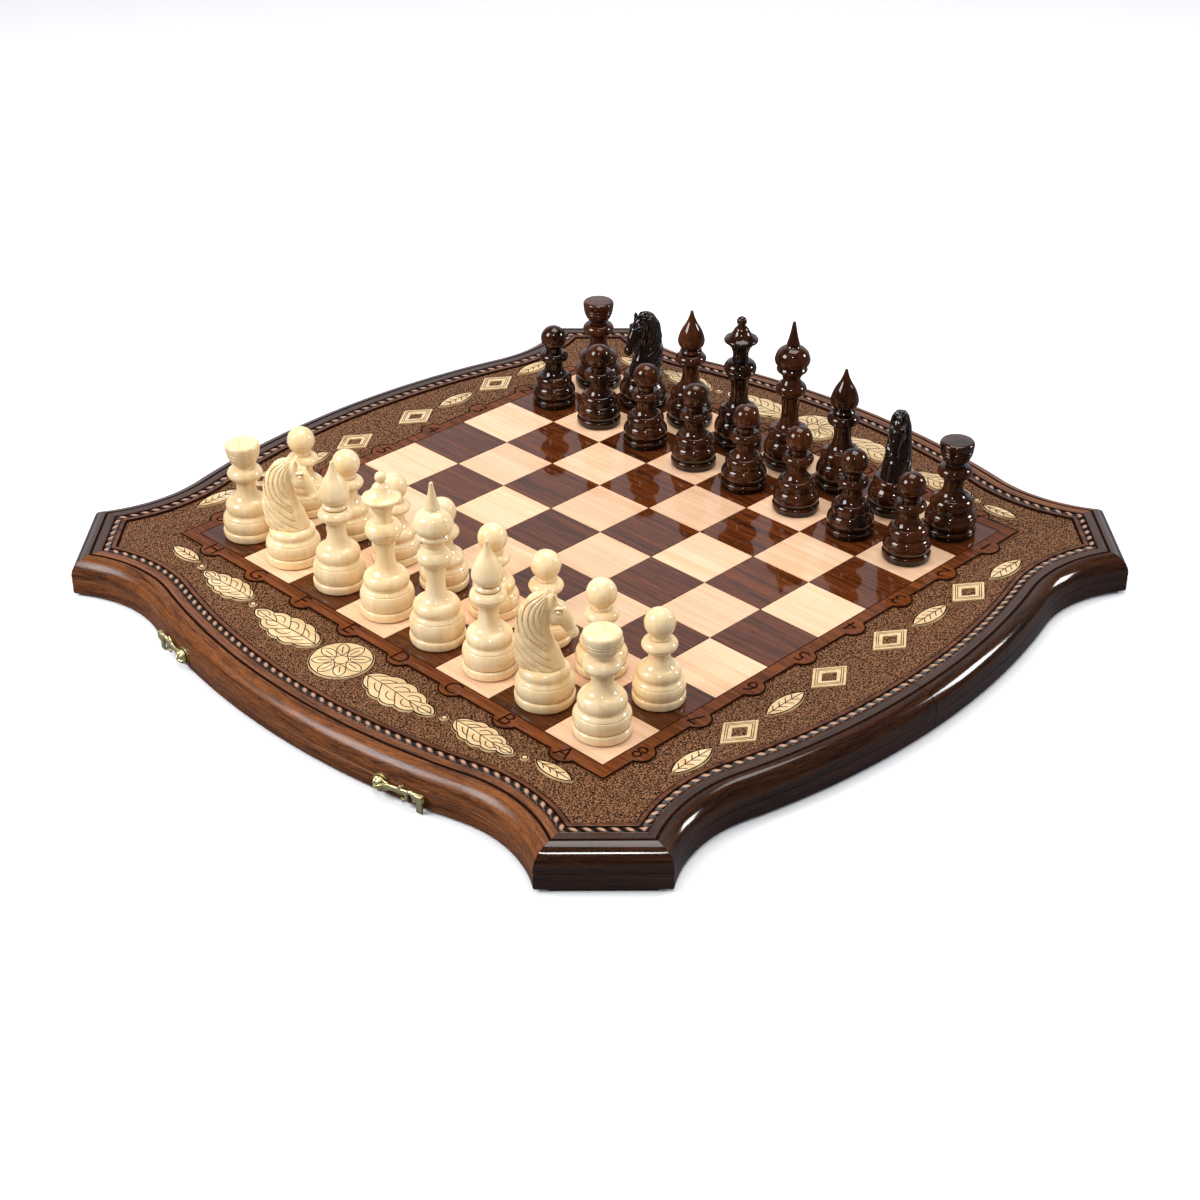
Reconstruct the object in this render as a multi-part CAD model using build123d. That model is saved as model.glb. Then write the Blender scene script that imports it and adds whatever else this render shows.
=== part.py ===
from build123d import *
from math import asin, cos, pi, radians, sin, sqrt
import os

# A folding wooden chess box laid open, in millimetres. The origin is on the table under the
# middle of the seam: X runs along the seam, the near half is at -Y, and Z is up.

# Playing field
SQUARE = 42.0
COUNT = 8
SQUARE_GAP = 0.5

# Layers of the board, from the table up
PAD_THICKNESS = 1.3
WALL_HEIGHT = 22.3
PANEL_THICKNESS = 3.0
INLAY_THICKNESS = 2.5
GROUND_DEPTH = 1.0

# Outline of the top edge: a long bow, a hollow flare and a flat across each corner
EDGE_CROWN = 238.6
BOW_RADIUS = 467.0
FLARE_RADIUS = 90.0
FLARE_PLACE = 150.0
CORNER_REACH = 298.5

# Rails
MOULDING = 10.3
FILLET_RELIEF = 0.01
EDGE_STRIP = 5.5
RAIL_WIDTH = 43.9
CORNER_WIDTH = 40.8
SEAM_GAP = 0.5
SEAM_RAIL_WIDTH = 14.0

# Carved border
ROPE_INSET = 8.5
ROPE_WIDTH = 4.4
ROPE_ROUND = 0.8
CHANNEL_WIDTH = 5.0
CHANNEL_DEPTH = 0.9
LIP_INSET = 14.0
STRIP_WIDTH = 8.2
TAB_RADIUS = 8.0
TAB_PLACE = 5.7
FIT = 0.1

# Maple inlays: a rosette between garlands of leaves on the ends, lozenges and leaves on the sides
ROSETTE_PLACE = 198.0
ROSETTE_RADIUS = 18.0
GARLAND_GAP = 2.6
GARLAND_RISE = 2.4
LARGE_LEAF_LENGTH = 55.0
LARGE_LEAF_WIDTH = 21.0
SMALL_LEAF_LENGTH = 45.0
SMALL_LEAF_WIDTH = 17.0
END_LEAF_LENGTH = 27.0
END_LEAF_WIDTH = 10.0
LEAF_LOBES = 5
BERRY_RADIUS = 2.4
SIDE_INLAY_PLACE = 197.0
LOZENGE_LENGTH = 30.0
LOZENGE_WIDTH = 22.0
LOZENGE_BAND = 5.0
LEAF_LENGTH = 32.0
LEAF_WIDTH = 12.0
SIDE_FIRST = 26.0
SIDE_STEP = 36.0
SIDE_COUNT = 4

# Corner pads
PAD_WIDTH = 52.0
PAD_DEPTH = 20.0
PAD_SETBACK = 1.5

# Hinges under the seam
HINGE_PLACE = 120.0
HINGE_LENGTH = 36.0
LEAF_REACH = 12.0
HINGE_LEAF_THICKNESS = 0.8
BARREL_RADIUS = 1.25
HINGE_PIN_RADIUS = 0.5
RUNNING_FIT = 0.05
KNUCKLE_GAP = 0.2
SCREW_SHANK_RADIUS = 0.8
SCREW_HEAD_RADIUS = 1.6
SCREW_LENGTH = 7.0
SCREW_STEP = 13.0
SCREW_SLOT_WIDTH = 0.4
SCREW_SLOT_DEPTH = 0.3

# Hooks on the near rail and studs on the far rail
HOOK_PLACE = 84.0
HOOK_RISE = 7.0
HOOK_DROP = 30.0
HOOK_REACH = 20.0
HOOK_TAIL = 8.0
HOOK_THICKNESS = 1.6
HOOK_STAND_OFF = 1.1
EYE_RADIUS = 3.6
ARM_WIDTH = 3.4
CURL_RADIUS = 3.2
TAB_WIDTH = 2.6
TAB_DROP = 7.4
PLATE_RADIUS = 5.2
PLATE_THICKNESS = 0.8
PIVOT_RADIUS = 1.2
PIVOT_DEPTH = 8.0
DOME_RADIUS = 3.8
DOME_HEIGHT = 2.4
STUD_RADIUS = 1.2
STUD_HEAD_RADIUS = 2.0
STUD_PLATE_RADIUS = 3.4
STUD_LENGTH = 4.2
STUD_CLEARANCE = 0.4

# Men: heights and feet
FELT_THICKNESS = 0.6
FELT_INSET = 1.0
KING_HEIGHT = 96.0
QUEEN_HEIGHT = 86.5
BISHOP_HEIGHT = 78.0
KNIGHT_HEIGHT = 64.0
ROOK_HEIGHT = 60.0
PAWN_HEIGHT = 54.4
KING_FOOT = 15.6
QUEEN_FOOT = 15.5
BISHOP_FOOT = 15.2
KNIGHT_FOOT = 16.2
ROOK_FOOT = 15.6
PAWN_FOOT = 14.3
STEM_RADIUS = 5.7
KNIGHT_RING_TOP = 21.4
KNIGHT_THICKNESS = 15.0

FIELD_HALF = SQUARE * COUNT / 2
TOP = PAD_THICKNESS + WALL_HEIGHT
RIM = PAD_THICKNESS
LEDGE = TOP - INLAY_THICKNESS - PANEL_THICKNESS
PANEL_TOP = TOP - INLAY_THICKNESS
GROUND = TOP - GROUND_DEPTH
TRAY_HALF = EDGE_CROWN + MOULDING - RAIL_WIDTH
TRAY_CORNER = CORNER_REACH + MOULDING - CORNER_WIDTH
SPAN = 2 * (CORNER_REACH + MOULDING)


def mirrored(point):
    """The point at the other side of the Y axis."""
    return Vector(-point.X, point.Y)


def swapped(point):
    """The point mirrored in the diagonal through the first corner."""
    return Vector(point.Y, point.X)


def on_circle(centre, radius, toward):
    """Point of a circle in the direction of another point."""
    away = toward - centre
    return centre + away * (radius / away.length)


def flare_centre_point():
    """Centre of the +Y side's right-hand flare, which meets the bow smoothly."""
    reach = BOW_RADIUS + FLARE_RADIUS
    return Vector(FLARE_PLACE, EDGE_CROWN - BOW_RADIUS + sqrt(reach ** 2 - FLARE_PLACE ** 2))


def side_points(grow):
    """Corner, mid-flare, meeting and crown points of the right half of the +Y side."""
    bow_centre = Vector(0, EDGE_CROWN - BOW_RADIUS)
    flare_centre = flare_centre_point()
    bow = BOW_RADIUS + grow
    flare = FLARE_RADIUS - grow
    meet = on_circle(bow_centre, bow, flare_centre)
    offset = (CORNER_REACH + grow) * sqrt(2) - flare_centre.X - flare_centre.Y
    across = (offset + sqrt(2 * flare ** 2 - offset ** 2)) / 2
    corner = flare_centre + Vector(across, offset - across)
    flare_middle = on_circle(flare_centre, flare, (meet + corner) / 2)
    return corner, flare_middle, meet, Vector(0, bow_centre.Y + bow)


def board_outline(grow):
    """Face of the whole board, its edge moved outwards by grow from the top edge."""
    corner, flare_middle, meet, crown = side_points(grow)
    side = [
        ThreePointArc(corner, flare_middle, meet),
        ThreePointArc(meet, crown, mirrored(meet)),
        ThreePointArc(mirrored(meet), mirrored(flare_middle), mirrored(corner)),
        Line(mirrored(corner), mirrored(swapped(corner))),
    ]
    edges = [edge.rotate(Axis.Z, 90.0 * turn) for turn in range(4) for edge in side]
    return make_face(edges)


def slab(face, bottom, top):
    """Solid of a flat face between two heights."""
    return Pos(0, 0, bottom) * extrude(face, amount=top - bottom, dir=(0, 0, 1))


def block(low, high):
    """Box from its lowest to its highest corner."""
    size = [b - a for a, b in zip(low, high)]
    return Pos(*low) * Box(*size, align=(Align.MIN, Align.MIN, Align.MIN))


def near_side(shape):
    """What lies on the near side of the seam gap."""
    return shape & block((-SPAN, -SPAN, -SPAN), (SPAN, -SEAM_GAP / 2, SPAN))


def far_copy(shape):
    """The far half's copy of a near piece."""
    return shape.rotate(Axis.Z, 180.0)


def mitre_line():
    """Mitre between a rail and the corner block to its right, from the board's diagonal outwards."""
    edge = side_points(0.0)[0]
    mitre = (side_points(MOULDING)[0] - edge).normalized()
    inwards = (edge.X - edge.Y) / (mitre.X - mitre.Y)
    return edge - mitre * inwards, edge + mitre * (3 * MOULDING)


def corner_region():
    """Plan between the mitres at the two ends of the first corner's flat."""
    start, end = mitre_line()
    return make_face(Polyline(start, end, Vector(end.Y, end.Y), swapped(end), close=True))


def side_region():
    """Plan between the mitres at the two ends of the +Y side."""
    start, end = mitre_line()
    middle = Vector(0, 0)
    return make_face(Polyline(middle, start, end, mirrored(end), mirrored(start), close=True))


def tray_plan():
    """Plan of the hollow under both halves, its corners cut off flat."""
    rectangle = Rectangle(2 * TRAY_HALF, 2 * TRAY_HALF)
    diamond = Rectangle(2 * TRAY_CORNER, 2 * TRAY_CORNER).rotate(Axis.Z, 45.0)
    return rectangle & diamond


def hollowed(body, region):
    """Rail cut to its region, with the tray's hollow and the panel's rebate taken out."""
    body = body & slab(region, RIM, TOP)
    body -= slab(tray_plan(), RIM, TOP)
    return body - slab(board_outline(-EDGE_STRIP), LEDGE, TOP)


def side_rail():
    """Rail along the +Y side, its bowed top edge rounded over."""
    corner, flare_middle, meet, crown = side_points(MOULDING)
    flare_centre = flare_centre_point()
    beyond = on_circle(flare_centre, FLARE_RADIUS - MOULDING, corner + Vector(2 * MOULDING, 0))
    back = Vector(beyond.X, TRAY_HALF / 2)
    arcs = [
        ThreePointArc(beyond, flare_middle, meet),
        ThreePointArc(meet, crown, mirrored(meet)),
        ThreePointArc(mirrored(meet), mirrored(flare_middle), mirrored(beyond)),
    ]
    ends = [Line(mirrored(beyond), mirrored(back)), Line(mirrored(back), back), Line(back, beyond)]
    body = slab(make_face(arcs + ends), RIM, TOP)
    top_edges = body.edges().filter_by(GeomType.CIRCLE).group_by(Axis.Z)[-1]
    return hollowed(fillet(top_edges, MOULDING - FILLET_RELIEF), side_region())


def corner_block():
    """Block across the first corner, its straight top edge rounded over."""
    reach = CORNER_REACH + MOULDING
    bar = block((reach - 4 * MOULDING, -reach / 2, RIM), (reach, reach / 2, TOP))
    top_edge = bar.edges().filter_by(Axis.Y).group_by(Axis.Z)[-1].sort_by(Axis.X)[-1]
    return hollowed(fillet(top_edge, MOULDING).rotate(Axis.Z, 45.0), corner_region())


def wall_rails(holes):
    """Front rail, two side rails and two corner blocks of the near half."""
    rail = side_rail()
    corner = corner_block()
    pieces = [near_side(rail.rotate(Axis.Z, turn)) for turn in (90.0, 180.0, 270.0)]
    pieces += [corner.rotate(Axis.Z, turn) for turn in (180.0, 270.0)]
    return Compound(children=[solid for piece in pieces for solid in (piece - holes).solids()])


def seam_rail(holes):
    """Rail along the seam, between the side rails and under the panel."""
    front = -SEAM_GAP / 2
    bar = block((-TRAY_HALF, front - SEAM_RAIL_WIDTH, RIM), (TRAY_HALF, front, LEDGE))
    for side in (-1, 1):
        middle = side * HINGE_PLACE
        half = HINGE_LENGTH / 2 + FIT
        recess = RIM + HINGE_LEAF_THICKNESS
        bar -= block((middle - half, -LEAF_REACH - FIT, RIM), (middle + half, 0, recess))
        notch = Cylinder(BARREL_RADIUS + KNUCKLE_GAP, 2 * half, rotation=(0, 90, 0))
        bar -= Pos(middle, 0, RIM) * notch
    return bar - holes


def base_panel():
    """Plywood panel that lies on the rebates and carries the field and its border."""
    return near_side(slab(board_outline(-EDGE_STRIP - FIT), LEDGE, PANEL_TOP))


def strip_plan(extra):
    """Plan of the coordinate strip with a round tab beside every square."""
    reach = FIELD_HALF + STRIP_WIDTH + extra
    plan = Rectangle(2 * reach, 2 * reach)
    places = [(index - (COUNT - 1) / 2) * SQUARE for index in range(COUNT)]
    for along in places:
        for side in (-1, 1):
            out = side * (FIELD_HALF + TAB_PLACE)
            plan += Pos(out, along) * Circle(TAB_RADIUS + extra)
            plan += Pos(along, out) * Circle(TAB_RADIUS + extra)
    return plan


def coordinate_strip():
    """Brown strip round the near half of the field."""
    ring = strip_plan(0.0) - Rectangle(2 * FIELD_HALF, 2 * FIELD_HALF)
    return near_side(slab(ring, PANEL_TOP, TOP))


def border_frame():
    """Carved border: a lowered ground, a raised lip, and a rope lying in its channel."""
    outer = board_outline(-EDGE_STRIP - FIT)
    opening = strip_plan(FIT)
    frame = slab(outer - opening, PANEL_TOP, TOP)
    frame -= slab(board_outline(-LIP_INSET) - opening, GROUND, TOP)
    channel_outer = board_outline(CHANNEL_WIDTH / 2 - ROPE_INSET)
    channel = channel_outer - board_outline(-CHANNEL_WIDTH / 2 - ROPE_INSET)
    frame -= slab(channel, TOP - CHANNEL_DEPTH, TOP)
    rope_outer = board_outline(ROPE_WIDTH / 2 - ROPE_INSET)
    rope_plan = rope_outer - board_outline(-ROPE_WIDTH / 2 - ROPE_INSET)
    rope = slab(rope_plan, TOP - CHANNEL_DEPTH - ROPE_ROUND / 2, TOP)
    rope = chamfer(rope.faces().sort_by(Axis.Z)[-1].edges(), ROPE_ROUND)
    return near_side(frame + rope)


def squares(parity):
    """The sixteen light (1) or dark (0) squares of the near half."""
    side = SQUARE - SQUARE_GAP
    tile = Box(side, side, INLAY_THICKNESS, align=(Align.CENTER, Align.CENTER, Align.MIN))
    tiles = []
    for column in range(COUNT):
        for row in range(COUNT // 2):
            if (column + row) % 2 == parity:
                across = (column + 0.5) * SQUARE - FIELD_HALF
                along = (row + 0.5) * SQUARE - FIELD_HALF
                tiles.append(Pos(across, along, PANEL_TOP) * tile)
    return Compound(children=tiles)


def leaf_plan(length, width):
    """Pointed leaf between two arcs, from the origin along X."""
    tip = Vector(length, 0)
    upper = ThreePointArc((0, 0), (length / 2, width / 2), tip)
    lower = ThreePointArc(tip, (length / 2, -width / 2), (0, 0))
    return make_face([upper, lower])


def lobed_leaf_plan(length, width):
    """Leaf with rounded lobes along both edges, from the origin along X."""
    steps = [index / LEAF_LOBES for index in range(LEAF_LOBES + 1)]
    upper = [Vector(length * step, width / 2 * sin(pi * step ** 0.75)) for step in steps]
    edges = []
    for start, end in zip(upper, upper[1:]):
        chord = end - start
        bulge = (start + end) / 2 + Vector(-chord.Y, chord.X) * 0.18
        for side in (1, -1):
            edges.append(ThreePointArc(*[(point.X, side * point.Y) for point in (start, bulge, end)]))
    return make_face(edges)


def lozenge_plan():
    """Open lozenge with its long diagonal along X."""
    half = (LOZENGE_LENGTH / 2, LOZENGE_WIDTH / 2)
    diagonal = sqrt(half[0] ** 2 + half[1] ** 2)
    shrink = 1 - LOZENGE_BAND * diagonal / (half[0] * half[1])
    corners = [(half[0], 0), (0, half[1]), (-half[0], 0), (0, -half[1])]
    outer = make_face(Polyline(*corners, close=True))
    inner = make_face(Polyline(*[(x * shrink, y * shrink) for x, y in corners], close=True))
    return outer - inner


def garland():
    """Leaves and berries that run out from the rosette along X, drawing in towards the field."""
    pieces = [
        (LARGE_LEAF_LENGTH, lobed_leaf_plan(LARGE_LEAF_LENGTH, LARGE_LEAF_WIDTH)),
        (2 * BERRY_RADIUS, Pos(BERRY_RADIUS, 0) * Circle(BERRY_RADIUS)),
        (SMALL_LEAF_LENGTH, lobed_leaf_plan(SMALL_LEAF_LENGTH, SMALL_LEAF_WIDTH)),
        (2 * BERRY_RADIUS, Pos(BERRY_RADIUS, 0) * Circle(BERRY_RADIUS)),
        (END_LEAF_LENGTH, leaf_plan(END_LEAF_LENGTH, END_LEAF_WIDTH)),
    ]
    plans = []
    start = ROSETTE_RADIUS + GARLAND_GAP
    for index, (length, plan) in enumerate(pieces):
        plans.append(Pos(start, index * GARLAND_RISE - ROSETTE_PLACE) * plan)
        start += length + GARLAND_GAP
    return plans


def maple_inlays():
    """Rosette and garlands on the near border, lozenges and leaves on its two sides."""
    plans = [Pos(0, -ROSETTE_PLACE) * Circle(ROSETTE_RADIUS)]
    for plan in garland():
        plans += [plan, plan.mirror(Plane.YZ)]
    leaf = Pos(-LEAF_LENGTH / 2, 0) * leaf_plan(LEAF_LENGTH, LEAF_WIDTH)
    for side in (-1, 1):
        for index in range(SIDE_COUNT):
            along = -SIDE_FIRST - index * SIDE_STEP
            mark = lozenge_plan() if index % 2 == 0 else leaf
            plans.append(Pos(side * SIDE_INLAY_PLACE, along) * mark.rotate(Axis.Z, 90.0))
    return Compound(children=[s for plan in plans for s in slab(plan, GROUND, TOP).solids()])


def corner_pads():
    """Thin pads under the two near corner blocks."""
    reach = CORNER_REACH + MOULDING - PAD_SETBACK
    pad = block((reach - PAD_DEPTH, -PAD_WIDTH / 2, 0), (reach, PAD_WIDTH / 2, RIM))
    return Compound(children=[pad.rotate(Axis.Z, turn) for turn in (-45.0, -135.0)])


def screw(extra):
    """Countersunk screw pointing up from the rim, or its hole when extra is over 0."""
    head = SCREW_HEAD_RADIUS + extra
    shank = SCREW_SHANK_RADIUS + extra
    length = SCREW_LENGTH + extra
    depth = HINGE_LEAF_THICKNESS
    outline = Polyline((0, 0), (head, 0), (shank, depth), (shank, length - shank), (0, length), close=True)
    body = revolve(Plane.XZ * make_face(outline), axis=Axis.Z)
    if extra == 0:
        body -= Box(2 * SCREW_HEAD_RADIUS, SCREW_SLOT_WIDTH, 2 * SCREW_SLOT_DEPTH)
    return body


def screw_places():
    """Places of the near leaves' screws."""
    across = -(LEAF_REACH + BARREL_RADIUS) / 2
    alongs = [side * HINGE_PLACE + step * SCREW_STEP for side in (-1, 1) for step in (-1, 0, 1)]
    return [Pos(along, across, RIM) for along in alongs]


def screws(extra):
    """The near leaves' screws, or their holes."""
    return Compound(children=[place * screw(extra) for place in screw_places()])


def hinge_leaves(own_middle):
    """Near hinge leaves; own_middle gives a leaf the middle knuckle instead of the outer two."""
    knuckle = HINGE_LENGTH / 3
    half = HINGE_LENGTH / 2
    top = RIM + HINGE_LEAF_THICKNESS
    edge = BARREL_RADIUS + KNUCKLE_GAP
    leaves = []
    for side in (-1, 1):
        middle = side * HINGE_PLACE
        leaf = block((middle - half, -LEAF_REACH, RIM), (middle + half, -edge, top))
        for index in (-1, 0, 1):
            if (index == 0) == own_middle:
                length = knuckle - KNUCKLE_GAP if own_middle else knuckle
                centre = middle + index * knuckle
                barrel = Cylinder(BARREL_RADIUS, length, rotation=(0, 90, 0))
                leaf += Pos(centre, 0, RIM) * barrel
                leaf += block((centre - length / 2, -edge, RIM), (centre + length / 2, 0, top))
        bore = Cylinder(HINGE_PIN_RADIUS + RUNNING_FIT, 2 * HINGE_LENGTH, rotation=(0, 90, 0))
        leaves.append(leaf - Pos(middle, 0, RIM) * bore)
    return Compound(children=[solid for leaf in leaves for solid in leaf.solids()]) - screws(RUNNING_FIT)


def hinge_pins():
    """Pins through the knuckles of the two hinges."""
    pin = Cylinder(HINGE_PIN_RADIUS, HINGE_LENGTH, rotation=(0, 90, 0))
    return Compound(children=[Pos(side * HINGE_PLACE, 0, RIM) * pin for side in (-1, 1)])


def band_frame(along, height):
    """Plane on the near band at a distance along it: X along the band, Y up, Z outwards."""
    radius = BOW_RADIUS + MOULDING
    angle = asin(along / radius)
    centre = BOW_RADIUS - EDGE_CROWN
    origin = (along, centre - radius * cos(angle), height)
    return Plane(origin, x_dir=(cos(angle), sin(angle), 0), z_dir=(sin(angle), -cos(angle), 0))


def hook_frame():
    """Frame of the right hook's pivot."""
    return band_frame(HOOK_PLACE, RIM + HOOK_RISE)


def both_sides(shape):
    """A right-hand shape and its mirrored left-hand copy."""
    return [shape, shape.mirror(Plane.YZ)]


def hook():
    """Right hook, lying along the band: eye, arm, curl under the arm, and finger tab."""
    end = HOOK_REACH + HOOK_TAIL
    mouth = STUD_RADIUS + STUD_CLEARANCE
    plan = Circle(EYE_RADIUS)
    plan += Pos(end / 2, mouth / 2) * SlotOverall(end, ARM_WIDTH)
    plan += Pos(HOOK_REACH, 0) * Circle(CURL_RADIUS)
    tab_top = Pos(end - TAB_WIDTH, mouth / 2 - TAB_DROP / 2)
    plan += tab_top * SlotOverall(TAB_DROP + TAB_WIDTH, TAB_WIDTH, rotation=90)
    plan -= Pos(HOOK_REACH, 0) * Circle(mouth)
    plan -= Pos(HOOK_REACH, -CURL_RADIUS) * Rectangle(2 * mouth, 2 * CURL_RADIUS)
    plan -= Circle(PIVOT_RADIUS + RUNNING_FIT)
    return hook_frame() * Pos(0, 0, HOOK_STAND_OFF) * extrude(plan, amount=HOOK_THICKNESS, dir=(0, 0, 1))


def hook_plates():
    """Round plates under the hooks' eyes."""
    plate = Cylinder(PLATE_RADIUS, PLATE_THICKNESS, align=(Align.CENTER, Align.CENTER, Align.MIN))
    plate -= Cylinder(PIVOT_RADIUS + RUNNING_FIT, 4 * PLATE_THICKNESS)
    return Compound(children=both_sides(hook_frame() * plate))


def pivot(extra):
    """Domed pivot screw of the right hook, or its hole when extra is over 0."""
    neck = HOOK_STAND_OFF + HOOK_THICKNESS + RUNNING_FIT
    depth = PIVOT_DEPTH + extra
    shank = Cylinder(PIVOT_RADIUS + extra, depth + neck, align=(Align.CENTER, Align.CENTER, Align.MIN))
    shank = Pos(0, 0, -depth) * shank
    if extra > 0:
        return hook_frame() * shank
    dome = turned([(0.0, neck), (DOME_RADIUS, neck), cap(DOME_RADIUS, neck, DOME_HEIGHT)])
    return hook_frame() * (shank + dome)


def stud_frame():
    """Where the right hook's stud stands, seen on the near band before it is turned to the far one."""
    drop = radians(HOOK_DROP)
    along = HOOK_PLACE + HOOK_REACH * cos(drop)
    return band_frame(along, RIM - HOOK_RISE + HOOK_REACH * sin(drop))


def stud(extra):
    """Headed catch stud with its round plate, or its hole when extra is over 0."""
    radius = STUD_RADIUS + extra
    if extra > 0:
        hole = Cylinder(radius, PIVOT_DEPTH + extra, align=(Align.CENTER, Align.CENTER, Align.MAX))
        return stud_frame() * hole
    lip = STUD_HEAD_RADIUS - STUD_RADIUS
    outline = Polyline(
        (0, -PIVOT_DEPTH), (radius, -PIVOT_DEPTH), (radius, 0), (STUD_PLATE_RADIUS, 0),
        (STUD_PLATE_RADIUS, PLATE_THICKNESS), (radius, PLATE_THICKNESS), (radius, STUD_LENGTH - 2 * lip),
        (STUD_HEAD_RADIUS, STUD_LENGTH - lip), (radius, STUD_LENGTH), (0, STUD_LENGTH), close=True,
    )
    return stud_frame() * revolve(Plane.XZ * make_face(outline), axis=Axis.Z)


def cap(radius, base, height):
    """Mid and end points of a round cap that closes a turned outline on its axis."""
    ball = (radius ** 2 + height ** 2) / (2 * height)
    angle = asin(radius / ball) if height < radius else radians(180.0) - asin(radius / ball)
    centre = base + height - ball
    return ball * sin(angle / 2), centre + ball * cos(angle / 2), 0.0, base + height


def turned(outline):
    """Solid of revolution. Each entry is (radius, height), or an arc by its mid and end points."""
    start = Vector(0, outline[0][-1])
    edges = []
    for entry in outline:
        end = Vector(*entry[-2:])
        if len(entry) == 4:
            edges.append(ThreePointArc(start, Vector(*entry[:2]), end))
        elif (end - start).length > 0:
            edges.append(Line(start, end))
        start = end
    edges.append(Line(start, Vector(0, outline[0][-1])))
    return revolve(Plane.XZ * make_face(edges), axis=Axis.Z)


def base_outline(foot, belly_top, waist):
    """Foot, belly, groove, rim and flared shoulder of a turned man, up to its stem above the waist."""
    edge = 0.04 * foot
    foot_top = 0.34 * foot
    groove = 0.79 * foot
    low = belly_top - foot_top
    rim = belly_top + 3.6 * edge
    rise = waist - rim
    return [
        (foot - edge, 0.0), (foot, edge),
        (foot, foot_top - 2.6 * edge),
        (foot - 0.6 * edge, foot_top - 0.8 * edge, foot - 2.3 * edge, foot_top),
        (foot - 0.3 * edge, foot_top + 0.45 * low, groove + 1.2 * edge, belly_top),
        (groove, belly_top + 0.7 * edge), (groove, belly_top + 3.0 * edge),
        (groove + 0.7 * edge, rim),
        (groove + 0.5 * edge, rim + 0.38 * rise, 0.42 * (foot + STEM_RADIUS), rim + 0.72 * rise),
        (1.24 * STEM_RADIUS, waist - 0.05 * rise, 1.02 * STEM_RADIUS, waist + 0.35 * rise),
    ]


def collar_outline(bottom, top, radius, below, above):
    """Bun-shaped collar between a stem and a neck."""
    middle = (bottom + top) / 2
    rise = 0.27 * (top - bottom)
    return [
        (below, bottom),
        (0.92 * radius, middle - rise, radius, middle),
        (0.92 * radius, middle + rise, above, top),
    ]


def pawn_outline():
    """Pawn: a ball on a collar."""
    height, stem = PAWN_HEIGHT, STEM_RADIUS
    ball = 0.153 * height
    centre = height - ball
    neck = 0.62 * ball
    return [
        *base_outline(PAWN_FOOT, 0.25 * height, 0.42 * height),
        *collar_outline(0.55 * height, 0.675 * height, 0.675 * PAWN_FOOT, 0.97 * stem, neck),
        (neck, centre - sqrt(ball ** 2 - neck ** 2)),
        (ball, centre, 0.0, height),
    ]


def rook_outline():
    """Rook: a plain rounded cup on a collar."""
    height, stem = ROOK_HEIGHT, STEM_RADIUS
    cup = 0.169 * height
    return [
        *base_outline(ROOK_FOOT, 0.25 * height, 0.45 * height),
        *collar_outline(0.6 * height, 0.735 * height, 0.665 * ROOK_FOOT, 1.03 * stem, stem),
        (0.9 * stem, 0.76 * height), (0.73 * cup, 0.79 * height, 0.86 * cup, 0.84 * height),
        (0.9 * cup, 0.848 * height), (0.97 * cup, 0.9 * height, cup, 0.955 * height),
        (0.95 * cup, 0.985 * height, 0.82 * cup, 0.996 * height), (0.0, height),
    ]


def bishop_outline():
    """Bishop: a pointed drop on a ring and a collar."""
    height, stem = BISHOP_HEIGHT, STEM_RADIUS
    tip = 0.19 * stem
    return [
        *base_outline(BISHOP_FOOT, 0.213 * height, 0.355 * height),
        (0.93 * stem, 0.45 * height, 1.1 * stem, 0.522 * height),
        *collar_outline(0.527 * height, 0.625 * height, 0.66 * BISHOP_FOOT, 1.18 * stem, 1.1 * stem),
        (1.23 * stem, 0.637 * height, 1.23 * stem, 0.65 * height), (0.98 * stem, 0.667 * height),
        (1.42 * stem, 0.702 * height, 1.5 * stem, 0.755 * height),
        (1.22 * stem, 0.818 * height, 0.74 * stem, 0.88 * height),
        (0.38 * stem, 0.935 * height, tip, 0.984 * height),
        cap(tip, 0.984 * height, 0.016 * height),
    ]


def queen_outline():
    """Queen: a flared coronet with a button, on a collar."""
    height, stem = QUEEN_HEIGHT, STEM_RADIUS
    button, button_foot = 0.37 * stem, 0.935 * height
    return [
        *base_outline(QUEEN_FOOT, 0.195 * height, 0.325 * height),
        (0.95 * stem, 0.44 * height, 1.2 * stem, 0.525 * height),
        *collar_outline(0.535 * height, 0.66 * height, 0.672 * QUEEN_FOOT, 1.4 * stem, 0.95 * stem),
        (0.86 * stem, 0.69 * height), (stem, 0.745 * height, 1.75 * stem, 0.805 * height),
        (1.9 * stem, 0.818 * height, 1.75 * stem, 0.835 * height),
        (1.15 * stem, 0.865 * height, 0.79 * stem, 0.905 * height), (button, button_foot),
        cap(button, button_foot, height - button_foot),
    ]


def king_outline():
    """King: an onion dome with a spire, on a cup and a collar."""
    height, stem = KING_HEIGHT, STEM_RADIUS
    tip = 0.2 * stem
    return [
        *base_outline(KING_FOOT, 0.181 * height, 0.285 * height),
        (0.93 * stem, 0.4 * height, 1.12 * stem, 0.482 * height),
        *collar_outline(0.49 * height, 0.578 * height, 0.625 * KING_FOOT, 1.22 * stem, 1.15 * stem),
        (0.95 * stem, 0.6 * height), (1.2 * stem, 0.638 * height, 1.56 * stem, 0.658 * height),
        (1.68 * stem, 0.671 * height, 1.58 * stem, 0.685 * height),
        (1.5 * stem, 0.692 * height), (1.62 * stem, 0.7 * height),
        (1.94 * stem, 0.733 * height, 1.86 * stem, 0.76 * height),
        (1.5 * stem, 0.803 * height, 0.76 * stem, 0.828 * height),
        (0.68 * stem, 0.838 * height), (0.72 * stem, 0.846 * height),
        (0.44 * stem, 0.908 * height, tip, 0.985 * height),
        cap(tip, 0.985 * height, 0.015 * height),
    ]


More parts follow.
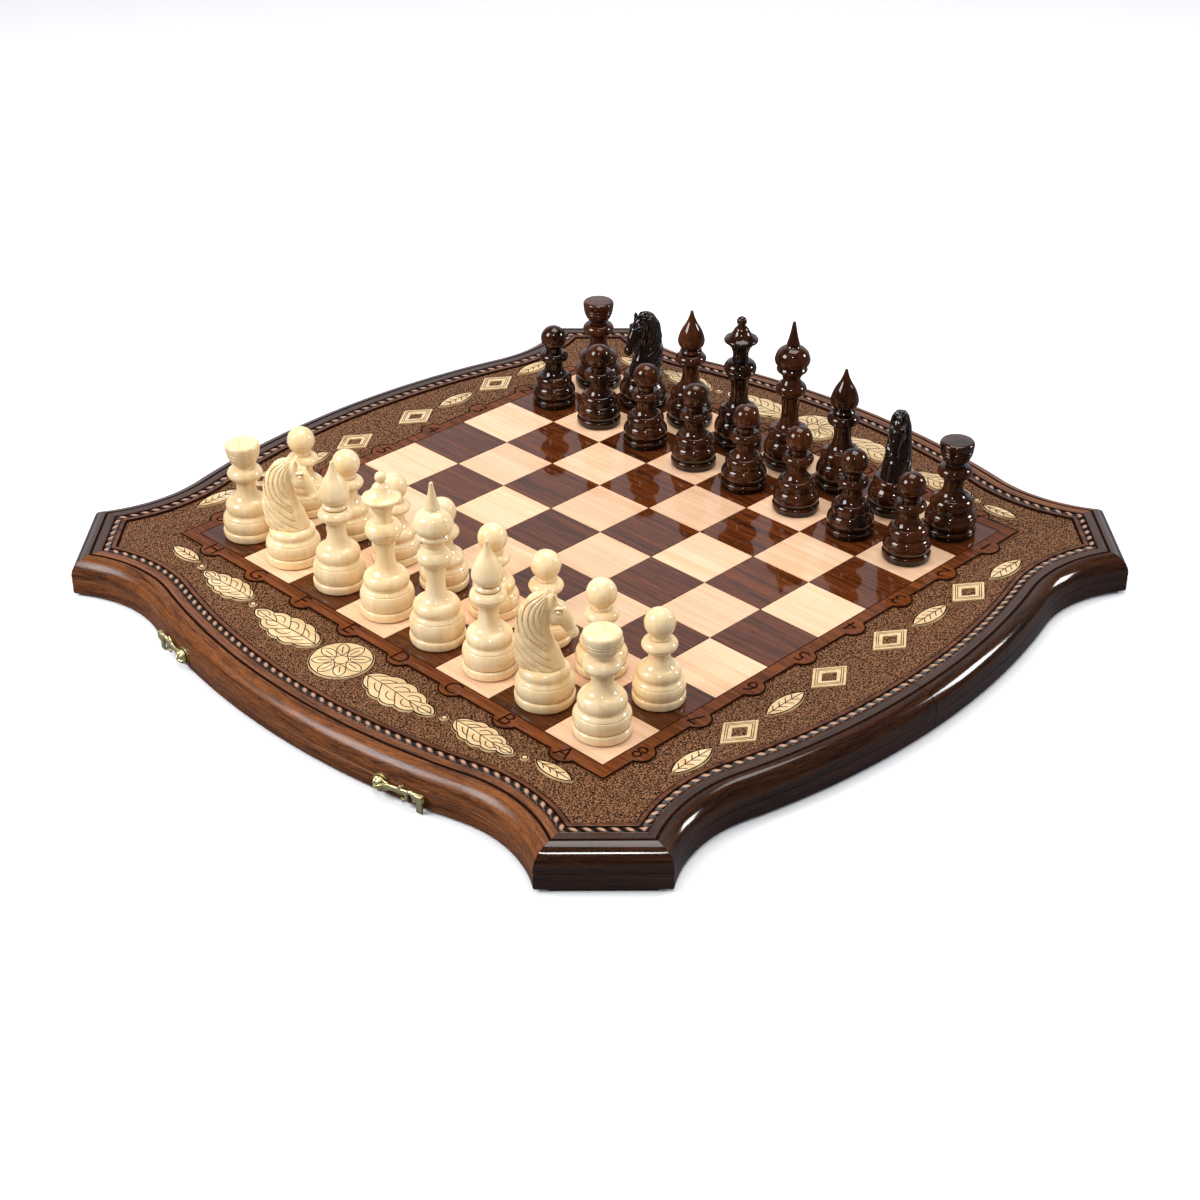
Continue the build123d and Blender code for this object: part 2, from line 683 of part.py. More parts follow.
def knight_base_outline():
    """Turned foot of a knight, with the ring that the head is glued on."""
    foot, ring = KNIGHT_FOOT, KNIGHT_RING_TOP
    edge = 0.04 * foot
    return [
        (foot - edge, 0.0), (foot, edge),
        (foot, 0.18 * ring), (0.975 * foot, 0.234 * ring, 0.914 * foot, 0.252 * ring),
        (0.98 * foot, 0.495 * ring, 0.852 * foot, 0.72 * ring),
        (0.815 * foot, 0.748 * ring), (0.815 * foot, 0.794 * ring),
        (0.778 * foot, 0.944 * ring, 0.63 * foot, ring), (0.0, ring),
    ]


def head_points(*shares):
    """Points of the knight's side view, by shares of its foot's radius and of its head's height."""
    height = KNIGHT_HEIGHT - KNIGHT_RING_TOP
    return [(forward * KNIGHT_FOOT, KNIGHT_RING_TOP + up * height) for forward, up in shares]


def knight_head():
    """Carved horse's head, facing +X: arched neck, ears, and a muzzle that hangs clear of the chest."""
    back = head_points((-0.68, 0), (-0.93, 0.27), (-0.78, 0.58), (-0.47, 0.83), (0.06, 0.95))
    ear = head_points((0.21, 1), (0.33, 0.88))
    face = head_points((0.80, 0.74), (1.08, 0.52), (1.04, 0.42), (0.84, 0.37))
    chest = head_points((0.60, 0.47), (0.20, 0.50), (0.34, 0.26), (0.62, 0))
    outline = [
        ThreePointArc(*back[:3]),
        ThreePointArc(*back[2:]),
        Line(back[4], ear[0]),
        Line(*ear),
        ThreePointArc(ear[1], *face[:2]),
        ThreePointArc(*face[1:]),
        ThreePointArc(face[3], *chest[:2]),
        ThreePointArc(*chest[1:]),
        Line(chest[3], back[0]),
    ]
    side = extrude(Plane.XZ * make_face(outline), amount=KNIGHT_THICKNESS / 2, both=True)
    low = 0.6 * KNIGHT_THICKNESS
    high = 0.25 * KNIGHT_THICKNESS
    shoulder = 0.55 * KNIGHT_THICKNESS, head_points((0, 0.44))[0][1]
    front = Polyline(
        (-low, KNIGHT_RING_TOP), (low, KNIGHT_RING_TOP), shoulder, (high, KNIGHT_HEIGHT),
        (-high, KNIGHT_HEIGHT), (-shoulder[0], shoulder[1]), close=True,
    )
    return side & extrude(Plane.YZ * make_face(front), amount=2 * KNIGHT_FOOT, both=True)


def man(name):
    """Solids of a man standing at the origin: felt, turned body, and a knight's head."""
    outlines = {
        "pawn": pawn_outline, "rook": rook_outline, "bishop": bishop_outline,
        "queen": queen_outline, "king": king_outline, "knight": knight_base_outline,
    }
    foot = {
        "pawn": PAWN_FOOT, "rook": ROOK_FOOT, "bishop": BISHOP_FOOT,
        "queen": QUEEN_FOOT, "king": KING_FOOT, "knight": KNIGHT_FOOT,
    }[name]
    felt = Cylinder(foot - FELT_INSET, FELT_THICKNESS, align=(Align.CENTER, Align.CENTER, Align.MIN))
    wood = [turned([(0.0, 0.0), *outlines[name]()])]
    if name == "knight":
        wood.append(knight_head())
    return Compound(children=[felt, *[Pos(0, 0, FELT_THICKNESS) * piece for piece in wood]])


BACK_RANK = ["rook", "knight", "bishop", "king", "queen", "bishop", "knight", "rook"]
FILES = "abcdefgh"
# Which way each colour's knights face, as degrees from +X, by file
KNIGHT_TURNS = {
    ("white", "b"): 40.0, ("white", "g"): 40.0,
    ("black", "b"): -62.0, ("black", "g"): -88.0,
}


def set_men(write):
    """Writes all thirty-two men, standing on their squares."""
    shapes = {name: man(name) for name in [*BACK_RANK[:5], "pawn"]}
    for colour, side in (("white", -1), ("black", 1)):
        for index, file in enumerate(FILES):
            across = FIELD_HALF - (index + 0.5) * SQUARE
            kind = BACK_RANK[index]
            single = kind in ("king", "queen")
            label = f"{colour}_{kind}" if single else f"{colour}_{kind}_{file}"
            turn = KNIGHT_TURNS.get((colour, file), 0.0)
            back = Pos(across, side * (FIELD_HALF - SQUARE / 2), TOP)
            write(label, back * shapes[kind].rotate(Axis.Z, turn))
            front = Pos(across, side * (FIELD_HALF - SQUARE * 1.5), TOP)
            write(f"{colour}_pawn_{file}", front * shapes["pawn"])


def write(name, shape):
    """Writes one named piece or group of like pieces."""
    solids = shape.solids()
    export_step(solids[0] if len(solids) == 1 else Compound(children=solids), f"parts/{name}.step")


def main():
    os.makedirs("parts", exist_ok=True)
    hook_holes = Compound(children=both_sides(pivot(RUNNING_FIT)))
    stud_holes = Compound(children=both_sides(stud(RUNNING_FIT)))
    screw_holes = screws(RUNNING_FIT)
    pieces = {
        "border_frame": border_frame(),
        "base_panel": base_panel(),
        "coordinate_strip": coordinate_strip(),
        "light_squares": squares(1),
        "dark_squares": squares(0),
        "maple_inlays": maple_inlays(),
        "seam_rail": seam_rail(screw_holes),
        "corner_pads": corner_pads(),
        "hinge_screws": screws(0.0),
    }
    for name, shape in pieces.items():
        write(f"near_{name}", shape)
        write(f"far_{name}", far_copy(shape))
    write("near_wall_rails", wall_rails(hook_holes))
    write("far_wall_rails", far_copy(wall_rails(stud_holes)))
    write("near_hinge_leaves", hinge_leaves(False))
    write("far_hinge_leaves", far_copy(hinge_leaves(True)))
    write("hinge_pins", hinge_pins())
    write("right_hook", hook())
    write("left_hook", hook().mirror(Plane.YZ))
    write("hook_plates", hook_plates())
    write("hook_pivots", Compound(children=both_sides(pivot(0.0))))
    write("catch_studs", far_copy(Compound(children=both_sides(stud(0.0)))))
    set_men(write)


main()
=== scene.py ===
from math import asin, cos, pi, radians, sin, sqrt

import bmesh
import bpy
import numpy as np
import openvdb
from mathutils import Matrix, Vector


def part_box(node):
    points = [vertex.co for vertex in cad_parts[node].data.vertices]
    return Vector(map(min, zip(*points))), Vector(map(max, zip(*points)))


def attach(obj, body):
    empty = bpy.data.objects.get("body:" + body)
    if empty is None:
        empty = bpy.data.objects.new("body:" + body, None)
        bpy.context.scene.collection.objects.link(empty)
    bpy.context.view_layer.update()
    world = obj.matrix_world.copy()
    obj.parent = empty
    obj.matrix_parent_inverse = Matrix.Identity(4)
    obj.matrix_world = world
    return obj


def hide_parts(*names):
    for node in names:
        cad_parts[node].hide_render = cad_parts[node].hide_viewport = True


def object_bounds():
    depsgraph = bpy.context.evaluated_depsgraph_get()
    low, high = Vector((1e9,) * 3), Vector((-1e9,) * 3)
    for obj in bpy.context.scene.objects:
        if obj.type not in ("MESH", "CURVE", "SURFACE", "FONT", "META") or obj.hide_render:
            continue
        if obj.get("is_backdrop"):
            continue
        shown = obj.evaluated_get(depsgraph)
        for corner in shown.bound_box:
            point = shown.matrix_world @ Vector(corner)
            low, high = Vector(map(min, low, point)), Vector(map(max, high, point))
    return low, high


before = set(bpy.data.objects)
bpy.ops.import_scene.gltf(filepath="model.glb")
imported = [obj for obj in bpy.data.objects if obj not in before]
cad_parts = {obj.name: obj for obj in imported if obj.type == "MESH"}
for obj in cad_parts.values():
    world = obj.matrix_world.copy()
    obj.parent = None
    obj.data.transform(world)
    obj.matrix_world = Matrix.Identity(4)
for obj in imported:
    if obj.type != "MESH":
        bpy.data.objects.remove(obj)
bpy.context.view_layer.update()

# Wall rails: the bowed rails round the box and the blocks across its corners.
# Beech, moulded with a quarter-round shoulder above a plain band, mitred and glued at the corners,
# stained walnut brown under clear glossy lacquer; the sides and corner blocks are drawn far darker as painted
# shade.
MM = 0.001
HALVES = {"near": 1, "far": -1}
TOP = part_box("near_light_squares")[1].z / MM
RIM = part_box("near_wall_rails")[0].z / MM
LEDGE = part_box("near_base_panel")[0].z / MM
MOULDING = 10.3
EDGE_CROWN = -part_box("near_wall_rails")[0].y / MM - MOULDING
BOW_RADIUS = 467.0
FLARE_RADIUS = 90.0
FLARE_PLACE = 150.0
CORNER_REACH = 298.5
TRAY_HALF = 205.0
TRAY_CORNER = 268.0
SEAM_GAP = 0.5
EDGE_STRIP = 5.5
SHOULDER_STEPS = 12
BEAD_BELOW_SHOULDER = 2.0
MITRE_LINE = 0.1
BURNT_ROWS = (5, 6, 7)
BOARD_TONES = (0.86, 1.08)
MIDDLE_RAIL = 2
RAIL_SAMPLE = 2.5
FLAT_LENGTH = 50.0
GRAIN_APART = 60.0


def linear(colour):
    """An sRGB hex colour as linear red, green, blue and alpha."""
    channels = [int(colour[place:place + 2], 16) / 255 for place in (1, 3, 5)]
    return [c / 12.92 if c <= 0.04045 else ((c + 0.055) / 1.055) ** 2.4 for c in channels] + [1.0]


def wire(tree, node, links):
    """Links nodes, each by its first output, or single outputs to a node's sockets."""
    for name, source in links.items():
        tree.links.new(source.outputs[0] if isinstance(source, bpy.types.Node) else source, node.inputs[name])


def add(tree, kind, settings=None, links=None):
    """Adds a shader node with its settings, by socket or property, and its links. stops fills a ramp."""
    node = tree.nodes.new("ShaderNode" + kind)
    for name, value in (settings or {}).items():
        if name == "stops":
            while len(node.color_ramp.elements) < len(value):
                node.color_ramp.elements.new(1.0)
            for element, (place, colour) in zip(node.color_ramp.elements, value):
                element.position = place
                element.color = linear(colour)
        elif isinstance(name, int) or name in node.inputs:
            node.inputs[name].default_value = value
        else:
            setattr(node, name, value)
    wire(tree, node, links or {})
    return node


def blank(name, settings, reads=None):
    """A new material with these settings on its shader; its node tree; that shader; and the place on
    the object, in metres, or the place that the attribute called reads holds."""
    material = bpy.data.materials.new(name)
    material.use_nodes = True
    tree = material.node_tree
    shader = tree.nodes["Principled BSDF"]
    for socket, value in settings.items():
        shader.inputs[socket].default_value = value
    if reads:
        return material, tree, shader, add(tree, "Attribute", {"attribute_name": reads}).outputs["Vector"]
    return material, tree, shader, add(tree, "TexCoord").outputs["Object"]


def stain_and_shade_in_hollows(tree, colour, stain, deep, clear, full):
    """A colour darkened towards another in hollows within deep mm: none where the share of open sky is clear,
    all at full.
    At a short reach this is stain in wood's fine cuts and tarnish in brass's; at a wide reach it is painted
    shade.
    """
    sky = add(tree, "AmbientOcclusion", {"Distance": deep * MM, "samples": 6}).outputs["AO"]
    hidden = add(tree, "MapRange", {"From Min": clear, "From Max": full}, {"Value": sky})
    return add(tree, "Mix", {"data_type": "RGBA", 7: linear(stain)}, {0: hidden, 6: colour}).outputs[2]


def wood(name, pale, deep, run, streak, upright=False, reads=None, board=None, pores=0.0, hollow_stain_and_shade=None,
         rough=0.45, coat=0.6, haze=0.05):
    """Lacquered wood. Fibres run mm long and streak mm wide, pores darken it, each board mm wide has
    its own cut of the grain, and the darkening in hollows gives a colour and a reach in mm: stain in fine
    cuts at a short reach, painted shade at a wide one. haze is the coat's roughness."""
    material, tree, shader, place = blank(name, {
        "Roughness": rough, "Specular IOR Level": 0.0 if coat else 0.3,
        "Coat Weight": coat, "Coat Roughness": haze,
    }, reads)
    tone = None
    if board:
        cut = add(tree, "VectorMath", {"operation": "SNAP", 1: (board * MM, board * MM, 1.0)}, {0: place})
        chance = add(tree, "TexWhiteNoise", {"noise_dimensions": "3D"}, {"Vector": cut})
        tone = add(tree, "MapRange", {"To Min": BOARD_TONES[0], "To Max": BOARD_TONES[1]}, {"Value": chance})
        place = add(tree, "VectorMath", {"operation": "ADD"}, {0: place, 1: chance.outputs["Color"]})
    sizes = (streak, streak, run) if upright else (run, streak, streak)
    stretch = add(tree, "VectorMath", {"operation": "DIVIDE", 1: [size * MM for size in sizes]}, {0: place})
    fibre = add(tree, "TexNoise", {"Scale": 1.0, "Detail": 5.0, "Roughness": 0.62, "Distortion": 0.5},
                {"Vector": stretch})
    figure = add(tree, "TexNoise", {"Scale": 0.16, "Detail": 2.0, "Distortion": 1.2}, {"Vector": stretch})
    part = add(tree, "Math", {"operation": "MULTIPLY", 1: 0.45}, {0: figure})
    height = add(tree, "Math", {"operation": "MULTIPLY_ADD", 1: 0.55}, {0: fibre, 2: part})
    colour = add(tree, "ValToRGB", {"stops": [(0.36, deep), (0.62, pale)]}, {"Fac": height})
    if pores:
        fine = add(tree, "VectorMath", {"operation": "MULTIPLY", 1: (3.0, 3.0, 3.0)}, {0: stretch})
        pore = add(tree, "TexNoise", {"Scale": 1.0, "Detail": 1.0}, {"Vector": fine})
        opened = add(tree, "MapRange", {"From Min": 0.56, "From Max": 0.68, "To Max": pores}, {"Value": pore})
        darker = add(tree, "Mix", {"data_type": "RGBA", "blend_type": "MULTIPLY", 7: linear("#1E0F08")},
                     {0: opened, 6: colour})
        colour = darker.outputs[2]
        height = add(tree, "Math", {"operation": "SUBTRACT"}, {0: height, 1: opened})
    if tone:
        colour = add(tree, "HueSaturation", {}, {"Color": colour, "Value": tone})
    if hollow_stain_and_shade:
        colour = stain_and_shade_in_hollows(tree, colour, *hollow_stain_and_shade, 0.85, 0.4)
    bump = add(tree, "Bump", {"Strength": 0.25, "Distance": 0.15 * MM}, {"Height": height})
    wire(tree, shader, {"Base Color": colour, "Normal": bump})
    return material


def char(name):
    """Wood burnt black by a hot point, dull, with browner spots about 1 mm apart."""
    material, tree, shader, place = blank(name, {"Roughness": 0.8, "Specular IOR Level": 0.0})
    spots = add(tree, "TexNoise", {"Scale": 1 / MM, "Detail": 2.0}, {"Vector": place})
    ramp = add(tree, "ValToRGB", {"stops": [(0.4, "#150B07"), (0.7, "#33190D")]}, {"Fac": spots})
    wire(tree, shader, {"Base Color": ramp})
    return material


def built(name, points, faces, materials, body, crease=35.0, grain=None, picks=None):
    """A mesh piece from points in mm, riding on its body. picks gives each face's material."""
    mesh = bpy.data.meshes.new(name)
    mesh.from_pydata((np.asarray(points, float) * MM).tolist(), [], faces)
    for material in materials if isinstance(materials, list) else [materials]:
        mesh.materials.append(material)
    if picks is not None:
        mesh.polygons.foreach_set("material_index", np.asarray(picks, np.int32))
    form = bmesh.new()
    form.from_mesh(mesh)
    bmesh.ops.recalc_face_normals(form, faces=form.faces)
    form.to_mesh(mesh)
    form.free()
    mesh.shade_smooth()
    mesh.set_sharp_from_angle(angle=radians(crease))
    if grain is not None:
        layer = mesh.attributes.new("grain", "FLOAT_VECTOR", "POINT")
        layer.data.foreach_set("vector", (np.asarray(grain, np.float32) * MM).ravel())
    piece = bpy.data.objects.new(name, mesh)
    bpy.context.scene.collection.objects.link(piece)
    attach(piece, body)
    return piece


def quarter(grow, sample):
    """Near edge from its crown to its right corner, moved outwards by grow."""
    bow_turn = asin(FLARE_PLACE / (BOW_RADIUS + FLARE_RADIUS))
    bow_middle = BOW_RADIUS - EDGE_CROWN
    flare_middle = bow_middle - (BOW_RADIUS + FLARE_RADIUS) * cos(bow_turn)
    edge_turn, flare_turn = [
        pi / 4 + asin(((CORNER_REACH + out) - (FLARE_PLACE - flare_middle) / sqrt(2)) / (FLARE_RADIUS - out))
        for out in (0.0, grow)
    ]
    turns = np.linspace(0.0, bow_turn, round(BOW_RADIUS * bow_turn / sample) + 1)
    bow = [((BOW_RADIUS + grow) * sin(t), bow_middle - (BOW_RADIUS + grow) * cos(t)) for t in turns]
    turns = np.linspace(-bow_turn, flare_turn, round(FLARE_RADIUS * (edge_turn + bow_turn) / sample) + 1)[1:]
    radius = FLARE_RADIUS - grow
    flare = [(FLARE_PLACE + radius * sin(t), flare_middle + radius * cos(t)) for t in turns]
    return np.array(bow + flare)


def half_edge(grow, height, sample):
    """The near half's edge from the seam at the right to the seam at the left, in its five rails."""
    near = quarter(grow, sample)
    right = near[:, ::-1] * (-1, -1)
    right[0, 1] = -SEAM_GAP / 2
    left = right * (-1, 1)
    flat = np.linspace(right[-1], near[-1], max(3, round(FLAT_LENGTH / sample)) + 1)
    rails = [right, flat, np.vstack([near[::-1], near[1:] * (-1, 1)]), flat[::-1] * (-1, 1), left[::-1]]
    return [at(rail, height) for rail in rails]


def at(plan, height):
    """Points of a plan at a height."""
    return np.column_stack([plan, np.full(len(plan), height)])


def tray_side(edge, height):
    """Points of the tray's wall behind an edge, seen from the board's middle."""
    plan = edge[:, :2]
    reach = np.minimum(TRAY_HALF / np.abs(plan).max(1), TRAY_CORNER * sqrt(2) / np.abs(plan).sum(1))
    return at(plan * reach[:, None], height)


def closed(ring):
    """A row of points or numbers with its first one again at its end."""
    return np.vstack([ring, ring[:1]])


def skin(rows):
    """Closed skin through the rows of points of a profile, its two ends capped."""
    index = closed(np.arange(rows.shape[0] * rows.shape[1]).reshape(rows.shape[:2]))
    quads = np.stack([index[:-1, :-1], index[:-1, 1:], index[1:, 1:], index[1:, :-1]], axis=-1)
    caps = [index[:-1, 0].tolist(), index[:-1, -1].tolist()[::-1]]
    return rows.reshape(-1, 3), quads.reshape(-1, 4).tolist() + caps


def joined(parts):
    """Several skins as one list of points and one of faces."""
    points, faces, start = [], [], 0
    for part_points, part_faces in parts:
        points.append(part_points)
        faces += [[corner + start for corner in face] for face in part_faces]
        start += len(part_points)
    return np.vstack(points), faces


def rail_grain(rows, number):
    """Place on the rail's own board: mm along it, and mm round its profile."""
    along = np.linalg.norm(np.diff(rows, axis=1), axis=2).mean(0).cumsum()
    across = np.linalg.norm(np.diff(rows, axis=0), axis=2).mean(1).cumsum()
    spread = np.zeros(rows.shape)
    spread[:, 1:, 0] = along
    spread[1:, :, 1] = across[:, None]
    spread[:, :, 2] = GRAIN_APART * number
    return spread.reshape(-1, 3)


def moulding_profile():
    """Rail's profile outside the ledge, as (grow, height) from the ledge over the top to the foot."""
    shoulder = [
        (MOULDING * sin(turn), TOP - MOULDING + MOULDING * cos(turn))
        for turn in np.linspace(radians(4.0), radians(90.0), SHOULDER_STEPS)
    ]
    bead = TOP - MOULDING - BEAD_BELOW_SHOULDER
    return [
        (-EDGE_STRIP, LEDGE), (-EDGE_STRIP, TOP - 0.15), (-EDGE_STRIP + 0.15, TOP), (-1.1, TOP),
        (-0.7, TOP - 0.35), (0.2, TOP - 0.4), (0.6, TOP - 0.1), *shoulder,
        (MOULDING, bead + 0.35), (MOULDING - 0.4, bead + 0.1), (MOULDING - 0.4, bead - 0.1),
        (MOULDING, bead - 0.35), (MOULDING, bead - 4.0), (MOULDING, RIM + 1.6),
        (MOULDING - 0.4, RIM + 0.6), (MOULDING - 1.4, RIM),
    ]


def wall_rails():
    """The near half's five rails as skins, with the grain of each, and which faces are the middle
    rail, the others, whose darker colour is painted shade, and burnt."""
    profile = [half_edge(grow, height, RAIL_SAMPLE) for grow, height in moulding_profile()]
    parts, grain, stain_and_shade_picks = [], [], []
    for number in range(5):
        rows = [ring[number] for ring in profile]
        rows = np.array([tray_side(rows[-1], RIM), tray_side(rows[0], LEDGE), *rows])
        for end, inside in ((0, 1), (-1, -2)):
            step = rows[:, inside] - rows[:, end]
            length = np.linalg.norm(step, axis=1, keepdims=True)
            if abs(rows[-1, end, 1]) > 1.0:
                rows[:, end] += step / np.maximum(length, MITRE_LINE) * MITRE_LINE
        parts.append(skin(rows))
        grain.append(rail_grain(rows, number))
        burnt = [face // (rows.shape[1] - 1) in BURNT_ROWS for face in range(len(parts[-1][1]))]
        # Side and corner rails take the darker material, which is painted shade.
        stain_and_shade_picks += [2 if mark else int(number != MIDDLE_RAIL) for mark in burnt]
    return *joined(parts), np.vstack(grain), stain_and_shade_picks


end_rail_beech = wood("walnut_stained_beech", "#8C5228", "#36190A", 10.0, 0.7, reads="grain",
                      pores=0.8, coat=0.7, haze=0.28)
# The sides and corner blocks: the same walnut-stained beech, drawn far darker as painted shade.
shaded_side_rail_beech = wood("side_beech_painted_shade", "#442614", "#170B06", 10.0, 0.7, reads="grain",
                       pores=0.6, coat=0.9, haze=0.11)
burnt_wood = char("burnt_wood")
rail_points, rail_faces, rail_fibres, rail_stain_and_shade_picks = wall_rails()
for half, side in HALVES.items():
    rails = built(f"{half}_moulded_rails", rail_points * (side, side, 1), rail_faces,
                  [end_rail_beech, shaded_side_rail_beech, burnt_wood], f"{half}_half",
                  grain=rail_fibres, picks=rail_stain_and_shade_picks)
    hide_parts(f"{half}_wall_rails")

# Seam rails, base panels and corner pads: what closes the trays along the seam, carries the field
# and stands on the table. The rails are the same stained beech, the panels birch plywood lying on
# the rails' rebates, and the pads thin dark leather glued under the corner blocks.
beech_cut_straight = wood("stained_beech_straight", "#7C4829", "#3A1E11", 80.0, 2.0, pores=0.5, coat=0.3)
birch_plywood = wood("birch_plywood", "#C79A68", "#A87847", 60.0, 1.6, coat=0.0)


def felt(name, pale, deep, nap):
    """Felt or the flesh side of leather: no gloss, and short hairs or pores, nap mm apart."""
    material, tree, shader, place = blank(name, {"Roughness": 0.95, "Sheen Weight": 0.3})
    hairs = add(tree, "TexNoise", {"Scale": 1 / (nap * MM), "Detail": 3.0}, {"Vector": place})
    ramp = add(tree, "ValToRGB", {"stops": [(0.35, deep), (0.65, pale)]}, {"Fac": hairs})
    bump = add(tree, "Bump", {"Strength": 0.6, "Distance": 0.15 * MM}, {"Height": hairs})
    wire(tree, shader, {"Base Color": ramp, "Normal": bump})
    return material


def dress(name, material):
    """Gives a CAD node its real material."""
    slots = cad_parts[name].data.materials
    slots.clear()
    slots.append(material)


pad_leather = felt("dark_pad_leather", "#3A2A20", "#1D140F", 0.7)
for half in HALVES:
    dress(f"{half}_seam_rail", beech_cut_straight)
    dress(f"{half}_base_panel", birch_plywood)
    dress(f"{half}_corner_pads", pad_leather)

# Hinges: two small butt hinges under the seam, with pins and countersunk screws.
# Leaves and knuckles are rolled brass strip, the screws are brass too, and the pins are plated steel.


def cast_brass(name, bright, tarnish, rough, patches, hollow_stain_and_shade=None):
    """Brass with darker tarnish in patches mm across, and the fine pitting of a cast or rolled skin.
    The darkening in hollows gives the tarnish held there: its colour and how many mm deep."""
    material, tree, shader, place = blank(name, {"Metallic": 1.0})
    stain = add(tree, "TexNoise", {"Scale": 1 / (patches * MM), "Detail": 3.0}, {"Vector": place})
    colour = add(tree, "ValToRGB", {"stops": [(0.38, tarnish), (0.6, bright)]}, {"Fac": stain})
    pits = add(tree, "TexNoise", {"Scale": 1 / (0.4 * MM), "Detail": 2.0}, {"Vector": place})
    bump = add(tree, "Bump", {"Strength": 0.3, "Distance": 0.05 * MM}, {"Height": pits})
    dull = add(tree, "MapRange", {"To Min": rough + 0.12, "To Max": rough - 0.05}, {"Value": stain})
    if hollow_stain_and_shade:
        colour = stain_and_shade_in_hollows(tree, colour, *hollow_stain_and_shade, 0.8, 0.3)
    wire(tree, shader, {"Base Color": colour, "Roughness": dull, "Normal": bump})
    return material


rolled_brass = cast_brass("rolled_brass", "#D8B866", "#8E7236", 0.35, 3.0)
for end in ("near", "far"):
    dress(f"{end}_hinge_leaves", rolled_brass)
    dress(f"{end}_hinge_screws", rolled_brass)
dress("hinge_pins", cast_brass("plated_steel_pin", "#C9C9C4", "#8F8F8B", 0.3, 2.0))

# Playing field: sixty-four squares of veneer on the panel, light maple and dark walnut.
# Each is cut from its own sheet, all with the grain along the seam, and the field is lacquered flat.
SQUARE = 42.0
maple_veneer = wood("maple_veneer", "#EEC7A4", "#DFB088", 60.0, 1.6, board=SQUARE, coat=0.5)
walnut_veneer = wood("walnut_veneer", "#6E3616", "#2A1006", 24.0, 0.6, board=SQUARE, pores=0.6, coat=0.8)
for half in HALVES:
    dress(f"{half}_light_squares", maple_veneer)
    dress(f"{half}_dark_squares", walnut_veneer)

# Coordinate strip: a brown strip round the field with a round tab beside every square.
# Stained beech; its outline is burnt in with a hot point, and each tab carries a thin burnt letter or
# digit, which the two players read from their own ends.
FIELD_HALF = SQUARE * 4
STRIP_EDGE = FIELD_HALF + 8.2
TAB_RADIUS = 8.0
TAB_PLACE = FIELD_HALF + 5.7
BURN_WIDTH = 0.9
FIELD_BURN_WIDTH = 0.5
BURN_RISE = 0.04
BURN_DEPTH = 0.4
GLYPH_SIZE = 14.5
GLYPH_THIN = 0.1
GLYPH_DEPTH = 0.1
FIELD_BURN_PLACE = FIELD_HALF + 0.1
TAB_STEPS = 14


def unit(vectors):
    """Vectors at the length 1."""
    return vectors / np.maximum(np.linalg.norm(vectors, axis=1, keepdims=True), 1e-9)


def burnt_line(path, width):
    """Skin of a line burnt along a path of (x, y) points, just proud of the wood."""
    path, top = np.asarray(path, float), TOP + BURN_RISE
    across = unit(np.gradient(path, axis=0))[:, ::-1] * (-0.5 * width, 0.5 * width)
    low = top - BURN_DEPTH
    sides = [(path + across, top), (path - across, top), (path - across, low), (path + across, low)]
    return skin(np.array([at(xy, z) for xy, z in sides]))


def tab_outline(middle):
    """Outer edge of a tab on the right side of the board, from its far foot to its near foot."""
    foot = asin(sqrt(TAB_RADIUS ** 2 - (STRIP_EDGE - TAB_PLACE) ** 2) / TAB_RADIUS)
    turns = np.linspace(foot, -foot, TAB_STEPS)
    return [(TAB_PLACE + TAB_RADIUS * cos(turn), middle + TAB_RADIUS * sin(turn)) for turn in turns]


def strip_outline():
    """Outer edge of the near half's strip, from the seam at the right to the seam at the left."""
    middles = [-(row + 0.5) * SQUARE for row in range(4)]
    right = [(STRIP_EDGE, -SEAM_GAP / 2)] + [point for middle in middles for point in tab_outline(middle)]
    end = [(-y, -x) for x, y in right[:0:-1]]
    half = right + [(STRIP_EDGE, -STRIP_EDGE)] + end
    return half + [(-x, y) for x, y in half[::-1]]


def spun(points, turn):
    """Points turned round the Z axis."""
    points = np.array(points, float)
    points[:, :2] = points[:, :2] @ [[cos(turn), sin(turn)], [-sin(turn), cos(turn)]]
    return points


def glyph(text, x, y, turn):
    """Points and faces of a thin letter or digit lying flat, its middle at x, y."""
    curve = bpy.data.curves.new(text, "FONT")
    curve.body = text
    curve.size = GLYPH_SIZE
    curve.offset = -GLYPH_THIN
    curve.align_x = "CENTER"
    curve.align_y = "CENTER"
    curve.extrude = GLYPH_DEPTH
    curve.resolution_u = 4
    drawn = bpy.data.objects.new(text, curve)
    mesh = bpy.data.meshes.new_from_object(drawn)
    points = np.array([vertex.co for vertex in mesh.vertices])
    faces = [list(face.vertices) for face in mesh.polygons]
    bpy.data.objects.remove(drawn)
    bpy.data.curves.remove(curve)
    bpy.data.meshes.remove(mesh)
    points[:, :2] -= (points[:, :2].max(0) + points[:, :2].min(0)) / 2
    return spun(points, turn) + (x, y, TOP - BURN_RISE), faces


def burnt_marks(side):
    """Lines round the field and the strip, and the letters and digits, of one half."""
    line = FIELD_BURN_PLACE
    field = [(line, -SEAM_GAP / 2), (line, -line), (-line, -line), (-line, -SEAM_GAP / 2)]
    parts = [burnt_line(line, FIELD_BURN_WIDTH) for line in (field[:2], field[1:3], field[2:])]
    parts.append(burnt_line(strip_outline(), BURN_WIDTH))
    parts = [(points * (side, side, 1), faces) for points, faces in parts]
    turned_round = 0.0 if side > 0 else pi
    for letter, digit, row in zip("ABCDEFGH", "87654321", range(8)):
        across = FIELD_HALF - (row + 0.5) * SQUARE
        parts.append(glyph(letter, across, -side * TAB_PLACE, turned_round))
        if across * side > 0:
            parts.append(glyph(digit, TAB_PLACE, -across, pi))
            parts.append(glyph(digit, -TAB_PLACE, -across, 0.0))
    return joined(parts)


